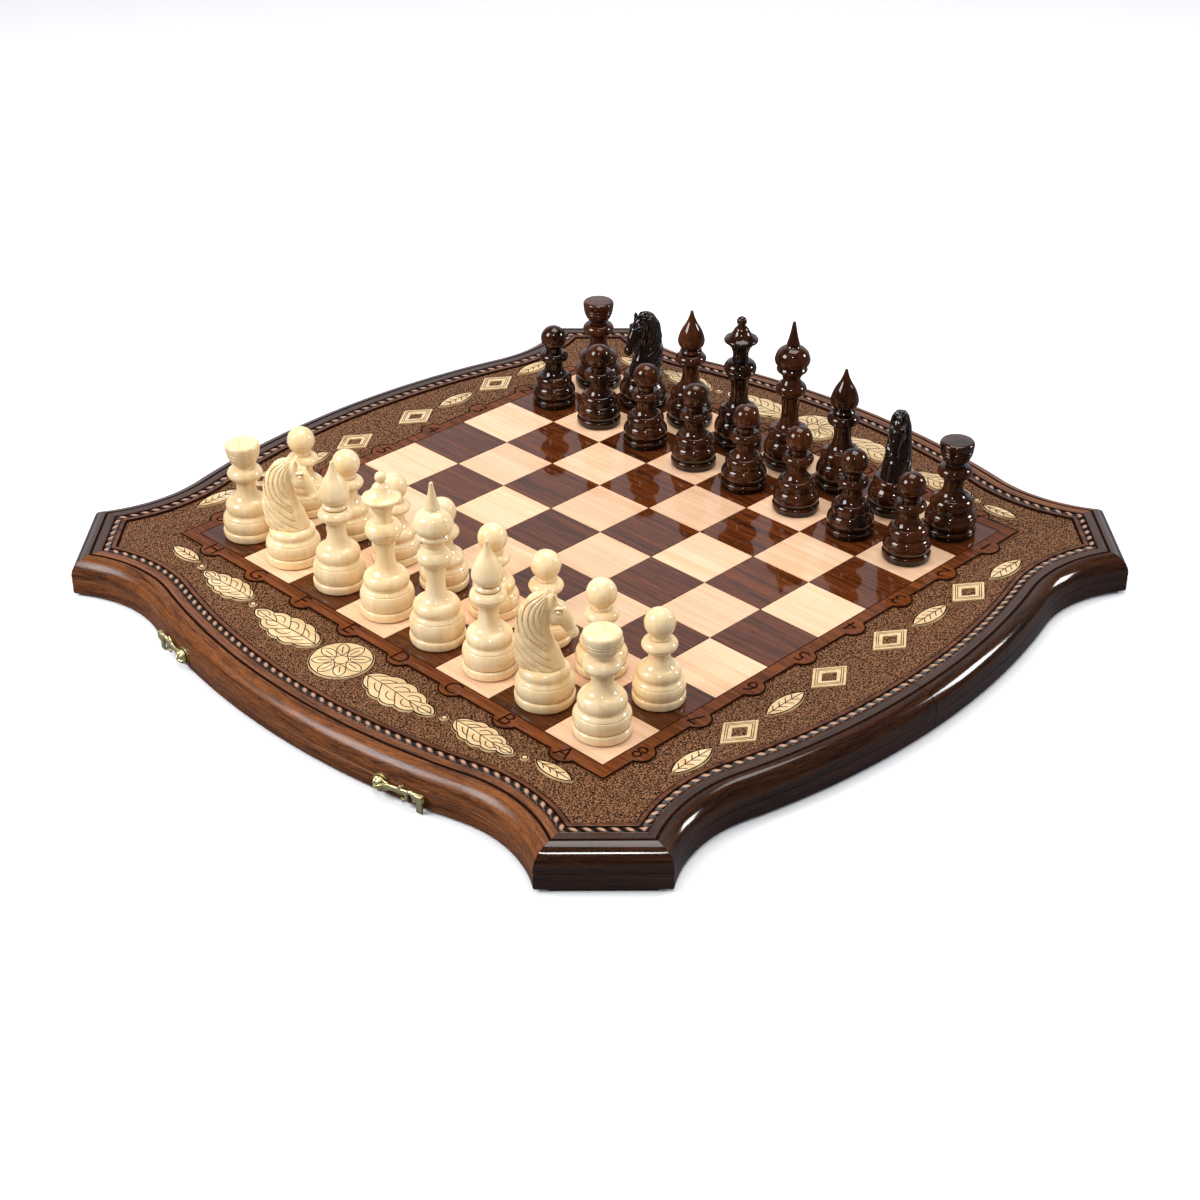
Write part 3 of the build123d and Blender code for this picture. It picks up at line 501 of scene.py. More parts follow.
strip_beech = wood("strip_beech", "#7A4120", "#40200F", 30.0, 1.0, pores=0.6, coat=0.3)
for half, side in HALVES.items():
    dress(f"{half}_coordinate_strip", strip_beech)
    marks = built(f"{half}_burnt_marks", *burnt_marks(side), burnt_wood, f"{half}_half")

# Border frame: a solid beech frame with a lip, a roped channel and a ground between lip and strip.
# The ground is struck all over with a small gouge, so that it is rough and dark with brown ridges,
# and the rope is carved as a twist of short slanting strands that lies in its channel.
ROPE_INSET = 8.5
ROPE_HALF_WIDTH = 2.35
ROPE_RISE = 1.1
ROPE_ACROSS = 11
ROPE_SAMPLE = 0.5
BEAD_PITCH = 6.8
BEAD_SLANT = 0.28
STRAND_ROUND, STRAND_FULL = 1.8, 0.8
CHANNEL_FLOOR = TOP - 1.05
ROPE_FOOT = CHANNEL_FLOOR - 0.3
LIP_INSET = 14.0
GROUND = TOP - 1.0
SUNK = GROUND - 0.2
FRAME_FOOT = LEDGE + 3.0
CHANNEL_ROWS = slice(3, 9)
EDGE_ROWS = slice(11, 14)
GROUND_SAMPLE = 0.9
GROUND_ROWS = 44
GOUGE_RUN = 2.4
GOUGE_WIDTH = 1.6
GOUGE_DEPTH = 0.6
GOUGE_WANDER = ((1.5, 4.0), (0.8, 5.0))
PIT_REACH = 0.75
RIDGE_RISE = 0.25
CHANCES = 128
STRIKE_RUN = 1.1
STRIKE_WIDTH = 0.75


def gouged(x, y):
    """Height of the struck ground: an uneven pit for each stroke of the gouge, with ridges between."""
    chance = np.random.RandomState(7).rand(CHANCES, CHANCES, 3)
    (sway_x, wave_x), (sway_y, wave_y) = GOUGE_WANDER
    u = (x + sway_x * np.sin(y / wave_x)) / GOUGE_RUN
    v = (y + sway_y * np.sin(x / wave_y)) / GOUGE_WIDTH
    column, row = np.floor(u).astype(int), np.floor(v).astype(int)
    nearest = np.full(x.shape, 9.0)
    depth = np.zeros(x.shape)
    for across in (-1, 0, 1):
        for up in (-1, 0, 1):
            stroke = chance[(column + across) % CHANCES, (row + up) % CHANCES]
            distance = np.hypot(column + across + stroke[..., 0] - u, row + up + stroke[..., 1] - v)
            depth = np.where(distance < nearest, 0.5 + 0.5 * stroke[..., 2], depth)
            nearest = np.minimum(nearest, distance)
    return RIDGE_RISE - GOUGE_DEPTH * depth * np.clip(1.0 - (nearest / PIT_REACH) ** 2, 0.0, 1.0)


def carved_border():
    """Skin of the near half's frame, and which faces are lip, struck ground, and burnt channel or edge."""
    profile = [
        (-EDGE_STRIP - 0.1, FRAME_FOOT), (-EDGE_STRIP - 0.1, TOP - 0.15), (-EDGE_STRIP - 0.25, TOP),
        (-6.0, TOP), (-6.1, TOP - 0.5), (-6.4, TOP - 0.95), (-8.5, TOP - 1.0), (-10.6, TOP - 0.95),
        (-10.9, TOP - 0.5), (-11.0, TOP - 0.05), (-11.2, TOP), (-13.2, TOP), (-13.6, TOP - 0.08),
        (-LIP_INSET, TOP - 0.45), (-LIP_INSET - 0.2, SUNK),
    ]
    rows = [np.vstack(half_edge(grow, height, GROUND_SAMPLE)) for grow, height in profile]
    outer = rows[-1]
    inner_reach = (STRIP_EDGE - 0.6) / np.abs(outer[:, :2]).max(1, keepdims=True)
    inner = np.hstack([outer[:, :2] * inner_reach, outer[:, 2:]])
    for step in range(1, GROUND_ROWS + 1):
        row = outer + (inner - outer) * step / GROUND_ROWS
        fade = min(1.0, step / 2, (GROUND_ROWS - step + 1) / 2)
        row[:, 2] = GROUND + fade * gouged(row[:, 0], row[:, 1])
        row[0, 1] = row[-1, 1] = -SEAM_GAP / 2
        rows.append(row)
    rows.append(at(rows[-1][:, :2], FRAME_FOOT))
    rows = np.array(rows)
    points, faces = skin(rows)
    bands = np.zeros(len(rows) + 1, int)
    bands[len(profile) - 1:len(profile) - 1 + GROUND_ROWS] = 1
    bands[CHANNEL_ROWS] = bands[EDGE_ROWS] = 2
    return points, faces, [bands[number // (rows.shape[1] - 1)] for number in range(len(faces))]


def run_along(points):
    """How far along a line each of its points is."""
    return np.concatenate([[0.0], np.linalg.norm(np.diff(points, axis=0), axis=1).cumsum()])


def twisted_rope():
    """Skin of the near half's rope: slanting rounded strands that lie in the channel like beads."""
    path = np.vstack([part[1:] for part in half_edge(-ROPE_INSET, 0.0, ROPE_SAMPLE)])
    tangent = unit(np.gradient(path, axis=0))
    across = np.column_stack([-tangent[:, 1], tangent[:, 0], np.zeros(len(path))])
    rows = [path - across * ROPE_HALF_WIDTH + (0, 0, ROPE_FOOT)]
    for side in np.linspace(-1.0, 1.0, ROPE_ACROSS):
        phase = (run_along(path) / BEAD_PITCH + BEAD_SLANT * side) % 1.0
        bead = np.maximum(1.0 - np.abs(2.0 * phase - 1.0) ** STRAND_ROUND, 0.0) ** STRAND_FULL
        rise = CHANNEL_FLOOR + ROPE_RISE * bead * sqrt(1.02 - side ** 2)
        rows.append(path + across * side * ROPE_HALF_WIDTH + np.outer(rise, (0, 0, 1)))
    rows.append(path + across * ROPE_HALF_WIDTH + (0, 0, ROPE_FOOT))
    return skin(np.array(rows))


def struck_ground(name):
    """Stained ground: pits hold dark stain, and the ridges rubbed back to brown are made lighter by height as
    painted highlight, under a dull lacquer.
    """
    material, tree, shader, place = blank(name, {
        "Roughness": 0.6, "Specular IOR Level": 0.0, "Coat Weight": 0.15, "Coat Roughness": 0.15,
    })
    height = add(tree, "SeparateXYZ", {}, {0: place}).outputs["Z"]
    # Height darkens the pits with their stain and lightens the ridge tops as painted highlight.
    reach = {"From Min": (GROUND - 0.5) * MM, "From Max": (GROUND + 0.3) * MM, "To Max": 0.4}
    height_tone_and_highlight = add(tree, "MapRange", reach, {"Value": height})
    strike = (STRIKE_RUN * MM, STRIKE_WIDTH * MM, MM)
    stretch = add(tree, "VectorMath", {"operation": "DIVIDE", 1: strike}, {0: place})
    wander = add(tree, "TexNoise", {"Scale": 0.7, "Detail": 2.0}, {"Vector": stretch})
    astray = add(tree, "VectorMath", {"operation": "ADD"}, {0: stretch, 1: wander.outputs["Color"]})
    strikes = add(tree, "TexVoronoi", {"voronoi_dimensions": "2D", "Scale": 1.0}, {"Vector": astray})
    fibre = add(tree, "TexNoise", {"Scale": 2.5, "Detail": 3.0}, {"Vector": stretch})
    ridge = add(tree, "Math", {"operation": "MULTIPLY_ADD", 1: 0.5},
                {0: fibre, 2: strikes.outputs["Distance"]})
    shade = add(tree, "Math", {"operation": "ADD"}, {0: height_tone_and_highlight, 1: ridge})
    stops = [(0.35, "#0E0704"), (0.7, "#26150C"), (0.9, "#4E3220"), (1.0, "#9A6C4C")]
    ramp = add(tree, "ValToRGB", {"stops": stops}, {"Fac": shade})
    bump = add(tree, "Bump", {"Strength": 1.0, "Distance": 0.8 * MM}, {"Height": ridge})
    wire(tree, shader, {"Base Color": ramp, "Normal": bump})
    return material


def rope_painted_highlight(name):
    """Carved rope coloured by height: nearly black low in its twist, brown higher up, and pale pinkish brown
    on its crests as painted highlight; lacquered to a high gloss.
    """
    material, tree, shader, place = blank(name, {
        "Roughness": 0.45, "Specular IOR Level": 0.0, "Coat Weight": 0.6, "Coat Roughness": 0.06,
    })
    height = add(tree, "SeparateXYZ", {}, {0: place}).outputs["Z"]
    height_tone_and_highlight = add(tree, "MapRange", {"From Min": (TOP - 0.8) * MM, "From Max": TOP * MM}, {"Value": height})
    # The pale top stop paints a highlight on the crests of the strands.
    stops = [(0.3, "#0E0705"), (0.65, "#3E2416"), (1.0, "#B08A72")]
    wire(tree, shader, {"Base Color": add(tree, "ValToRGB", {"stops": stops}, {"Fac": height_tone_and_highlight})})
    return material


lip_beech = wood("lip_beech", "#6E4026", "#331A0D", 50.0, 1.6, pores=0.5, coat=0.5)
border_finishes = [lip_beech, struck_ground("gouged_stained_beech"), burnt_wood]
rope_with_painted_highlight = rope_painted_highlight("carved_rope_painted_highlight")
border_points, border_faces, border_picks = carved_border()
rope_points, rope_faces = twisted_rope()
for half, side in HALVES.items():
    border = built(f"{half}_carved_border", border_points * (side, side, 1), border_faces, border_finishes,
                   f"{half}_half", crease=50.0, picks=border_picks)
    rope = built(f"{half}_twisted_rope", rope_points * (side, side, 1), rope_faces, rope_with_painted_highlight,
                 f"{half}_half", crease=70.0)
    for piece in (border, rope):
        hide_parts(f"{half}_border_frame")

# Men: thirty-two turned chessmen, white of hornbeam and black of the same wood stained nearly black.
# Each is turned on a lathe in one go, with fine lines cut at its belly and collar, lacquered to a
# high gloss, and has a felt disc glued under its foot.
AROUND = 56
KNIGHT_FOOT = 16.2
FELT_THICKNESS = 0.6
FELT_INSET = 1.0
LINE_DEPTH = 0.3
LINE_WIDTH = 0.22
OUTLINE_SAMPLE = 0.1
OUTLINE_BEND = radians(9.0)
OUTLINE_RUN = 16
STEM = 5.7


def arc(start, middle, end, steps=24):
    """Points of the arc from start through middle to end, without its start."""
    a, b, c = complex(*start), complex(*middle), complex(*end)
    w = (c - a) / (b - a)
    if abs(w.imag) < 1e-9:
        return [end]
    centre = (b - a) * (w - abs(w) ** 2) / (2j * w.imag) + a
    first, second, last = [np.angle(p - centre) for p in (a, b, c)]
    ahead = (second - first) % (2 * pi) < (last - first) % (2 * pi)
    sweep = (last - first) % (2 * pi) if ahead else -((first - last) % (2 * pi))
    radius = abs(a - centre)
    turns = first + sweep * np.arange(1, steps + 1) / steps
    return [(centre.real + radius * cos(turn), centre.imag + radius * sin(turn)) for turn in turns]


def profile_of(outline, lines):
    """Dense (radius, height) points of an outline of points and arcs, with fine lines cut at heights."""
    points = [outline[0]]
    for entry in outline[1:]:
        if len(entry) == 4:
            points += arc(points[-1], entry[:2], entry[2:])
        else:
            points.append(entry)
    points = np.array(points)
    run = run_along(points)
    dense = np.arange(0.0, run[-1], OUTLINE_SAMPLE)
    radius, height = np.interp(dense, run, points[:, 0]), np.interp(dense, run, points[:, 1])
    for line in lines:
        radius = radius - LINE_DEPTH * np.exp(-((height - line) / LINE_WIDTH) ** 2)
    kept, heading, last = [0], None, 0
    for place in range(1, len(dense) - 1):
        ahead = np.arctan2(height[place + 1] - height[place], radius[place + 1] - radius[place])
        turned_by = 0.0 if heading is None else abs((ahead - heading + pi) % (2 * pi) - pi)
        if turned_by > OUTLINE_BEND or place - last > OUTLINE_RUN:
            kept.append(place)
            heading, last = ahead, place
    kept.append(len(dense) - 1)
    return np.column_stack([radius[kept], height[kept]])


def circle(steps):
    """Points of a circle of radius 1, the first not again at the end."""
    turns = np.linspace(0.0, 2 * pi, steps, endpoint=False)
    return np.column_stack([np.cos(turns), np.sin(turns)])


def rings(rows, capped=True):
    """Skin through rings of points, its ends capped or else joined to each other."""
    index = np.arange(len(rows) * len(rows[0])).reshape(len(rows), -1)
    caps = [index[0, ::-1].tolist(), index[-1].tolist()] if capped else []
    index = index if capped else closed(index)
    after = np.roll(index, -1, axis=1)
    quads = np.stack([index[:-1], after[:-1], after[1:], index[1:]], axis=-1).reshape(-1, 4).tolist()
    return np.vstack(rows), quads + caps


def scaled(height, *entries, width=STEM):
    """Entries of an outline in mm, from radii in parts of a width and heights in parts of a height."""
    return [tuple(value * (height if place % 2 else width) for place, value in enumerate(entry))
            for entry in entries]


def foot_and_belly(height, foot, belly, neck):
    """Foot, belly, groove, rim and flared shoulder of a man, up to its stem above the waist."""
    belly_top, waist = belly * height, neck * height
    edge, foot_top, groove = 0.04 * foot, 0.34 * foot, 0.79 * foot
    low, rim = belly_top - foot_top, belly_top + 3.6 * edge
    rise = waist - rim
    return [
        (foot - edge, 0.0), (foot, edge), (foot, foot_top - 2.6 * edge),
        (foot - 0.6 * edge, foot_top - 0.8 * edge, foot - 2.3 * edge, foot_top),
        (foot - 0.3 * edge, foot_top + 0.45 * low, groove + 1.2 * edge, belly_top),
        (groove, belly_top + 0.7 * edge), (groove, belly_top + 3.0 * edge), (groove + 0.7 * edge, rim),
        (groove + 0.5 * edge, rim + 0.38 * rise, 0.42 * (foot + STEM), rim + 0.72 * rise),
        (1.24 * STEM, waist - 0.05 * rise, 1.02 * STEM, waist + 0.35 * rise),
    ]


def collar(height, foot, bottom, top, width, below, above):
    """Bun-shaped collar, width feet wide, between a stem and a neck, below and above stems wide."""
    middle, rise, radius = (bottom + top) / 2 * height, 0.27 * (top - bottom) * height, width * foot
    return [
        (below * STEM, bottom * height), (0.92 * radius, middle - rise, radius, middle),
        (0.92 * radius, middle + rise, above * STEM, top * height),
    ]


def ball_cap(radius, base, top):
    """Arc that closes an outline on its axis, from a radius at its base."""
    height = top - base
    ball = (radius ** 2 + height ** 2) / (2 * height)
    angle = asin(radius / ball) if height < radius else pi - asin(radius / ball)
    return ball * sin(angle / 2), top - ball + ball * cos(angle / 2), 0.0, top


def pawn(height, foot):
    """A pawn's outline, with a ball on its collar, and its fine lines, in parts of its height."""
    ball = 0.153 * height
    centre, neck = height - ball, 0.62 * ball
    return [
        *foot_and_belly(height, foot, 0.25, 0.42),
        *collar(height, foot, 0.55, 0.675, 0.675, 0.97, neck / STEM),
        (neck, centre - sqrt(ball ** 2 - neck ** 2)), (ball, centre, 0.0, height),
    ], (0.215, 0.595)


def rook(height, foot):
    """A rook's outline, with a plain rounded cup on its collar, and its fine lines."""
    return [
        *foot_and_belly(height, foot, 0.25, 0.45), *collar(height, foot, 0.6, 0.735, 0.665, 1.03, 1.0),
        (0.9 * STEM, 0.76 * height),
        *scaled(height, (0.73, 0.79, 0.86, 0.84), (0.9, 0.848), (0.97, 0.9, 1.0, 0.955),
                (0.95, 0.985, 0.82, 0.996), (0.0, 1.0), width=0.169 * height),
    ], (0.215, 0.81, 0.875, 0.905)


def bishop(height, foot):
    """A bishop's outline, with a pointed drop on a ring and a collar, and its fine lines."""
    return [
        *foot_and_belly(height, foot, 0.213, 0.355), *scaled(height, (0.93, 0.45, 1.1, 0.522)),
        *collar(height, foot, 0.527, 0.625, 0.66, 1.18, 1.1),
        *scaled(height, (1.23, 0.637, 1.23, 0.65), (0.98, 0.667), (1.42, 0.702, 1.5, 0.755),
                (1.22, 0.818, 0.74, 0.88), (0.38, 0.935, 0.19, 0.984)),
        ball_cap(0.19 * STEM, 0.984 * height, height),
    ], (0.19, 0.565)


def queen(height, foot):
    """A queen's outline, with a flared coronet and its button on a collar, and its fine lines."""
    return [
        *foot_and_belly(height, foot, 0.195, 0.325), *scaled(height, (0.95, 0.44, 1.2, 0.525)),
        *collar(height, foot, 0.535, 0.66, 0.672, 1.4, 0.95),
        *scaled(height, (0.86, 0.69), (1.0, 0.745, 1.75, 0.805), (1.9, 0.818, 1.75, 0.835),
                (1.15, 0.865, 0.79, 0.905), (0.37, 0.935)),
        ball_cap(0.37 * STEM, 0.935 * height, height),
    ], (0.175, 0.59, 0.79)


def king(height, foot):
    """A king's outline, with an onion dome and its spire on a cup and a collar, and its fine lines."""
    return [
        *foot_and_belly(height, foot, 0.181, 0.285), *scaled(height, (0.93, 0.4, 1.12, 0.482)),
        *collar(height, foot, 0.49, 0.578, 0.625, 1.22, 1.15),
        *scaled(height, (0.95, 0.6), (1.2, 0.638, 1.56, 0.658), (1.68, 0.671, 1.58, 0.685), (1.5, 0.692),
                (1.62, 0.7), (1.94, 0.733, 1.86, 0.76), (1.5, 0.803, 0.76, 0.828), (0.68, 0.838),
                (0.72, 0.846), (0.44, 0.908, 0.2, 0.985)),
        ball_cap(0.2 * STEM, 0.985 * height, height),
    ], (0.16, 0.52)


def man_skin(outline, lines, foot):
    """Skin of a turned man on its felt, and which faces are felt."""
    lifted = [tuple(value + FELT_THICKNESS * (place % 2) for place, value in enumerate(entry))
              for entry in outline]
    reach = foot - FELT_INSET
    disc = np.array([(reach - 0.15, 0.0), (reach, 0.12), (reach, FELT_THICKNESS - 0.02)])
    profile = np.vstack([disc, profile_of(lifted, [line + FELT_THICKNESS for line in lines])])
    profile = profile[profile[:, 0] > 0.2]
    points, faces = rings([at(circle(AROUND) * radius, height) for radius, height in profile])
    fabric = len(disc) * AROUND
    return points, faces, [int(number < fabric or number == len(faces) - 2) for number in range(len(faces))]


hornbeam = wood("lacquered_hornbeam", "#FEE7BC", "#F0CD92", 34.0, 4.0, upright=True, board=SQUARE,
                hollow_stain_and_shade=("#B07F42", 1.0), rough=0.5, coat=1.0)
# Black men: undersides of collars and balls, stems and the parts near the board and their neighbours are
# darkened to near black over an 18 mm reach as painted shade.
black_hornbeam = wood("black_stained_hornbeam", "#512810", "#050201", 30.0, 7.0, upright=True, board=SQUARE,
                      pores=0.2, hollow_stain_and_shade=("#060302", 18.0), rough=0.5, coat=1.0)
man_felt = felt("dark_green_felt", "#1F2A1E", "#0E140E", 0.3)
COLOURS = {"white": hornbeam, "black": black_hornbeam}
OUTLINES = {"pawn": pawn, "rook": rook, "bishop": bishop, "queen": queen, "king": king}
for name in sorted(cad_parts):
    colour, _, rest = name.partition("_")
    kind = rest.split("_")[0]
    if colour not in COLOURS or kind not in OUTLINES:
        continue
    low, high = (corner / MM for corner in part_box(name))
    foot, height = (high.x - low.x) / 2, high.z - low.z - FELT_THICKNESS
    outline, lines = OUTLINES[kind](height, foot)
    points, faces, picks = man_skin(outline, [line * height for line in lines], foot)
    middle = ((low.x + high.x) / 2, (low.y + high.y) / 2, low.z)
    man = built(f"turned_{name}", points + middle, faces, [COLOURS[colour], man_felt], name,
                crease=28.0, picks=picks)
    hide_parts(name)

# Knights: a horse's head carved in the round, glued on a foot turned like the other men's.
# The same wood, the black heads stained deeper, cut with small gouges: a mane of long curved locks in
# two tiers down the neck, two short ears, and a slender muzzle clear of the chest; then lacquered.
HEAD_SAMPLE = 0.38
HEAD_LOW = (-18.0, -9.6, 19.6)
HEAD_HIGH = (20.0, 9.6, 67.0)
HEAD_BLEND = 2.2
UPPER_LOCK = 0.21
LOWER_LOCK = 3.6
LOCK_DEPTH = 1.0
NECK_CHAIN = [(-1.0, 20.0, 10.2), (-3.4, 27.0, 11.2), (-5.8, 35.0, 9.9), (-5.6, 42.0, 8.6),
              (-4.6, 50.0, 7.8), (-1.6, 56.0, 6.6), (2.0, 58.5, 4.8)]
FACE_CHAIN = [(3.5, 56.5, 5.2), (7.6, 53.0, 5.0), (10.8, 48.6, 4.2), (13.4, 44.4, 3.3), (14.8, 41.0, 2.8)]
CHEST_CHAIN = [(1.6, 22.0, 9.0), (0.6, 28.0, 7.4), (-2.0, 36.0, 5.8)]
MANE_FRONT = {20.0: 6.0, 24.0: 6.0, 32.0: 3.0, 36.0: 4.0, 44.0: 0.5, 52.0: 0.5, 58.0: 2.0, 66.0: 3.0}
SWELLS = [((6.4, 2.4, 51.0), (4.2, 2.7, 4.6), 1.4), ((15.2, 0.8, 41.4), (2.7, 2.5, 2.7), 1.0),
          ((8.0, 3.4, 56.6), (2.4, 1.5, 1.1), 0.5)]
CUTS = [((8.2, 4.4, 54.8), (1.9, 1.3, 1.5), 0.5), ((16.9, 2.5, 42.0), (0.8, 0.8, 0.8), 0.5),
        ((15.8, 1.5, 39.3), (2.6, 3.0, 0.3), 0.4)]
CUT_WIDTH = 0.45
EYE = ((8.3, 4.4, 54.8), (1.0, 0.9, 0.8))
EAR = ((5.2, 2.8, 61.0), (1.7, 1.4, 3.9))
EAR_HOLLOW = ((6.5, 3.3, 61.6), (1.3, 0.8, 2.8))
HEAD_FOOT = 20.6
KNIGHT_TURNS = {("white", "b"): 40.0, ("white", "g"): 40.0, ("black", "b"): -62.0, ("black", "g"): -88.0}
KNIGHT_LINE = 13.6


def chain(grid, places, flat):
    """Signed distance in mm to a chain of tapering limbs along y = 0, thinned across by flat."""
    nearest = np.full(grid[0].shape, 99.0)
    for (x0, z0, r0), (x1, z1, r1) in zip(places, places[1:]):
        run = (x1 - x0) ** 2 + (z1 - z0) ** 2
        share = np.clip(((grid[0] - x0) * (x1 - x0) + (grid[2] - z0) * (z1 - z0)) / run, 0.0, 1.0)
        away = np.sqrt((grid[0] - x0 - share * (x1 - x0)) ** 2 + (grid[1] * flat) ** 2
                       + (grid[2] - z0 - share * (z1 - z0)) ** 2)
        nearest = np.minimum(nearest, away - r0 - share * (r1 - r0))
    return nearest


def blob(grid, place, radii):
    """Signed distance, roughly, to an ellipsoid that stands at both sides of y = 0."""
    away = [(axis - centre) / radius for axis, centre, radius in
            zip((grid[0], np.abs(grid[1]), grid[2]), place, radii)]
    return (np.sqrt(sum(part ** 2 for part in away)) - 1.0) * min(radii)


def melted(first, second, blend):
    """The union of two forms, run together over blend mm."""
    share = np.clip(0.5 + 0.5 * (second - first) / blend, 0.0, 1.0)
    return second + (first - second) * share - blend * share * (1.0 - share)


def solid_skin(form, low, sample):
    """Skin in mm of a form given by its signed distance on a grid."""
    field = openvdb.FloatGrid()
    field.copyFromArray(np.ascontiguousarray(np.clip(form, -3.0, 3.0), dtype=np.float32))
    points, triangles, quads = field.convertToPolygons(isovalue=0.0, adaptivity=0.0)
    faces = [face.tolist() for face in triangles] + [face.tolist() for face in quads]
    return np.asarray(points) * sample + low, faces


def mane(grid):
    """How far the mane stands out of the neck, in mm: locks that fan back from the poll and bend
    forwards as they fall, over a second tier that sweeps round to the foot of the neck."""
    x, z = grid[0], grid[2]
    fan = np.hypot(x - 4.0, 65.0 - z)
    upper = (np.arctan2(x - 4.0, 65.0 - z) - 1.2 * (fan / 32.0) ** 2) / UPPER_LOCK
    lower = np.hypot(x - 21.0, z - 63.0) / LOWER_LOCK
    above = np.clip((z - 37.5 + 0.55 * (x + 3.0)) / 0.9, 0.0, 1.0)
    front = np.interp(z, list(MANE_FRONT), list(MANE_FRONT.values()))
    behind = np.clip((front - x) / 1.2, 0.0, 1.0)
    grooves = 0.0
    for lock, share in ((upper, above), (lower, 1.0 - above)):
        wide = (1.0 - np.abs(np.sin(pi * lock))) ** 2.5
        fine = (1.0 - np.abs(np.sin(3.0 * pi * lock + 0.6))) ** 2.5
        grooves = grooves + share * (LOCK_DEPTH * wide + 0.45 * LOCK_DEPTH * fine)
    return behind * (0.9 + 0.8 * above - grooves)


def grid_of(low, high, sample):
    """Places in mm on a grid between two corners."""
    return np.meshgrid(*[np.arange(start, end, sample) for start, end in zip(low, high)], indexing="ij")


def horse_head():
    """Skin of the carved head and neck, facing +X, in mm from the foot's middle: jaw, muzzle and brow
    swell out of it, and the eye's socket, the nostril and the mouth are cut into it."""
    grid = grid_of(HEAD_LOW, HEAD_HIGH, HEAD_SAMPLE)
    form = melted(chain(grid, NECK_CHAIN, 1.4), chain(grid, CHEST_CHAIN, 1.1), 3.0) - mane(grid)
    form = melted(form, chain(grid, FACE_CHAIN, 1.2), HEAD_BLEND)
    for place, radii, blend in SWELLS:
        form = melted(form, blob(grid, place, radii), blend)
    for place, radii, depth in CUTS:
        form = form + depth * np.clip(1.0 - np.abs(blob(grid, place, radii)) / CUT_WIDTH, 0.0, 1.0)
    form = melted(form, blob(grid, *EYE), 0.2)
    form = melted(form, np.maximum(blob(grid, *EAR), -blob(grid, *EAR_HOLLOW)), 0.7)
    return solid_skin(np.maximum(form, HEAD_FOOT - grid[2]), HEAD_LOW, HEAD_SAMPLE)


def knight_foot(foot):
    """Outline of a knight's turned foot, up to the ring under its head."""
    return [
        (foot - 0.6, 0.0), (foot, 0.6), (foot, 3.8), (foot - 0.4, 5.0, foot - 1.4, 5.4),
        (foot - 0.3, 10.6, foot - 2.4, 15.4), (foot - 3.0, 16.0), (foot - 3.0, 17.0),
        (foot - 3.6, 20.2, foot - 6.0, 21.4), (0.0, 21.4),
    ]


# Black heads: mane grooves, the eye and the underside of the jaw are darkened to near black over a 6 mm reach
# as painted shade.
ebonised = wood("ebonised_hornbeam", "#24160E", "#080403", 20.0, 2.0, upright=True,
                hollow_stain_and_shade=("#040202", 6.0), rough=0.5, coat=1.0)
HEAD_WOODS = {"white": hornbeam, "black": ebonised}
head_points, head_faces = horse_head()
foot_points, foot_faces, foot_picks = man_skin(knight_foot(KNIGHT_FOOT), [KNIGHT_LINE], KNIGHT_FOOT)
for (colour, file), turn in KNIGHT_TURNS.items():
    name = f"{colour}_knight_{file}"
    low, high = (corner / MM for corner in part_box(name))
    middle = [(np.floor((low[axis] + high[axis]) / 2 / SQUARE) + 0.5) * SQUARE for axis in (0, 1)]
    head = spun(head_points, radians(turn)) + (0.0, 0.0, FELT_THICKNESS)
    points, faces = joined([(foot_points, foot_faces), (head, head_faces)])
    knight = built(f"carved_{name}", points + (*middle, low.z), faces,
                   [COLOURS[colour], man_felt, HEAD_WOODS[colour]], name, crease=40.0,
                   picks=foot_picks + [2] * len(head_faces))
    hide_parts(name)

# Hooks: two brass hooks on the near rail, which swing on domed screws through round plates, and the
# studs on the far rail that they catch when the box is shut. Cast brass, chased with a swirl round
# the screw, flutes along the arm, a pointed leaf above it and a finger tab; bright, dark in its cuts.
HOOK_PLACE = 84.0
HOOK_HEIGHT = RIM + 7.0
HOOK_MIDDLE = 1.9
HOOK_MOUTH = 1.6
HOOK_REACH = 20.0
RING_RADIUS, RING_WIRE = 2.6, 0.95
HOOK_SAMPLE = 0.2
HOOK_LOW = (-6.6, -2.4, -8.0)
HOOK_HIGH = (30.0, 2.6, 6.4)
ARM_CHAIN = [(0.0, 0.0, 4.4), (3.5, 0.1, 2.9), (8.0, 0.5, 1.6), (13.5, 0.8, 2.1), (18.0, 1.2, 1.8),
             (23.0, 1.0, 2.5), (26.6, 0.6, 2.2)]
CURL_CHAIN = [(17.5, 1.0, 1.1), (17.2, -1.4, 1.05), (16.6, -3.2, 0.95), (15.2, -4.3, 0.8), (14.2, -3.2, 0.55)]
LEAF_CHAIN = [(12.6, 1.6, 1.2), (13.6, 3.4, 0.9), (15.4, 5.0, 0.35)]
FLUTES_FROM, FLUTES_TO = 4.6, 22.0
FLUTE_DEPTH, FLUTE_WIDTH = 0.32, 1.3
SHOULDER_BLOCK = ((25.6, 0.15, 0.8), (1.9, 1.0, 1.9), 0.45)
FINGER_TAB = ((25.4, -0.2, -3.2), (1.75, 0.5, 4.5), 0.1)
DOME_BASE = 2.75
DOME_RADIUS = 3.8
DOME_HEIGHT = 2.4
DOME_LOW = (-4.6, -0.6, -4.6)
DOME_HIGH = (4.6, 3.2, 4.6)
SWIRL_PETALS = 5


def swirl(along, up, depth):
    """Depth of the chased swirl round the screw."""
    turn = np.arctan2(up, along) * SWIRL_PETALS / 2 + 0.5 * np.hypot(along, up)
    return depth * (1.0 - np.abs(np.sin(turn))) ** 1.5


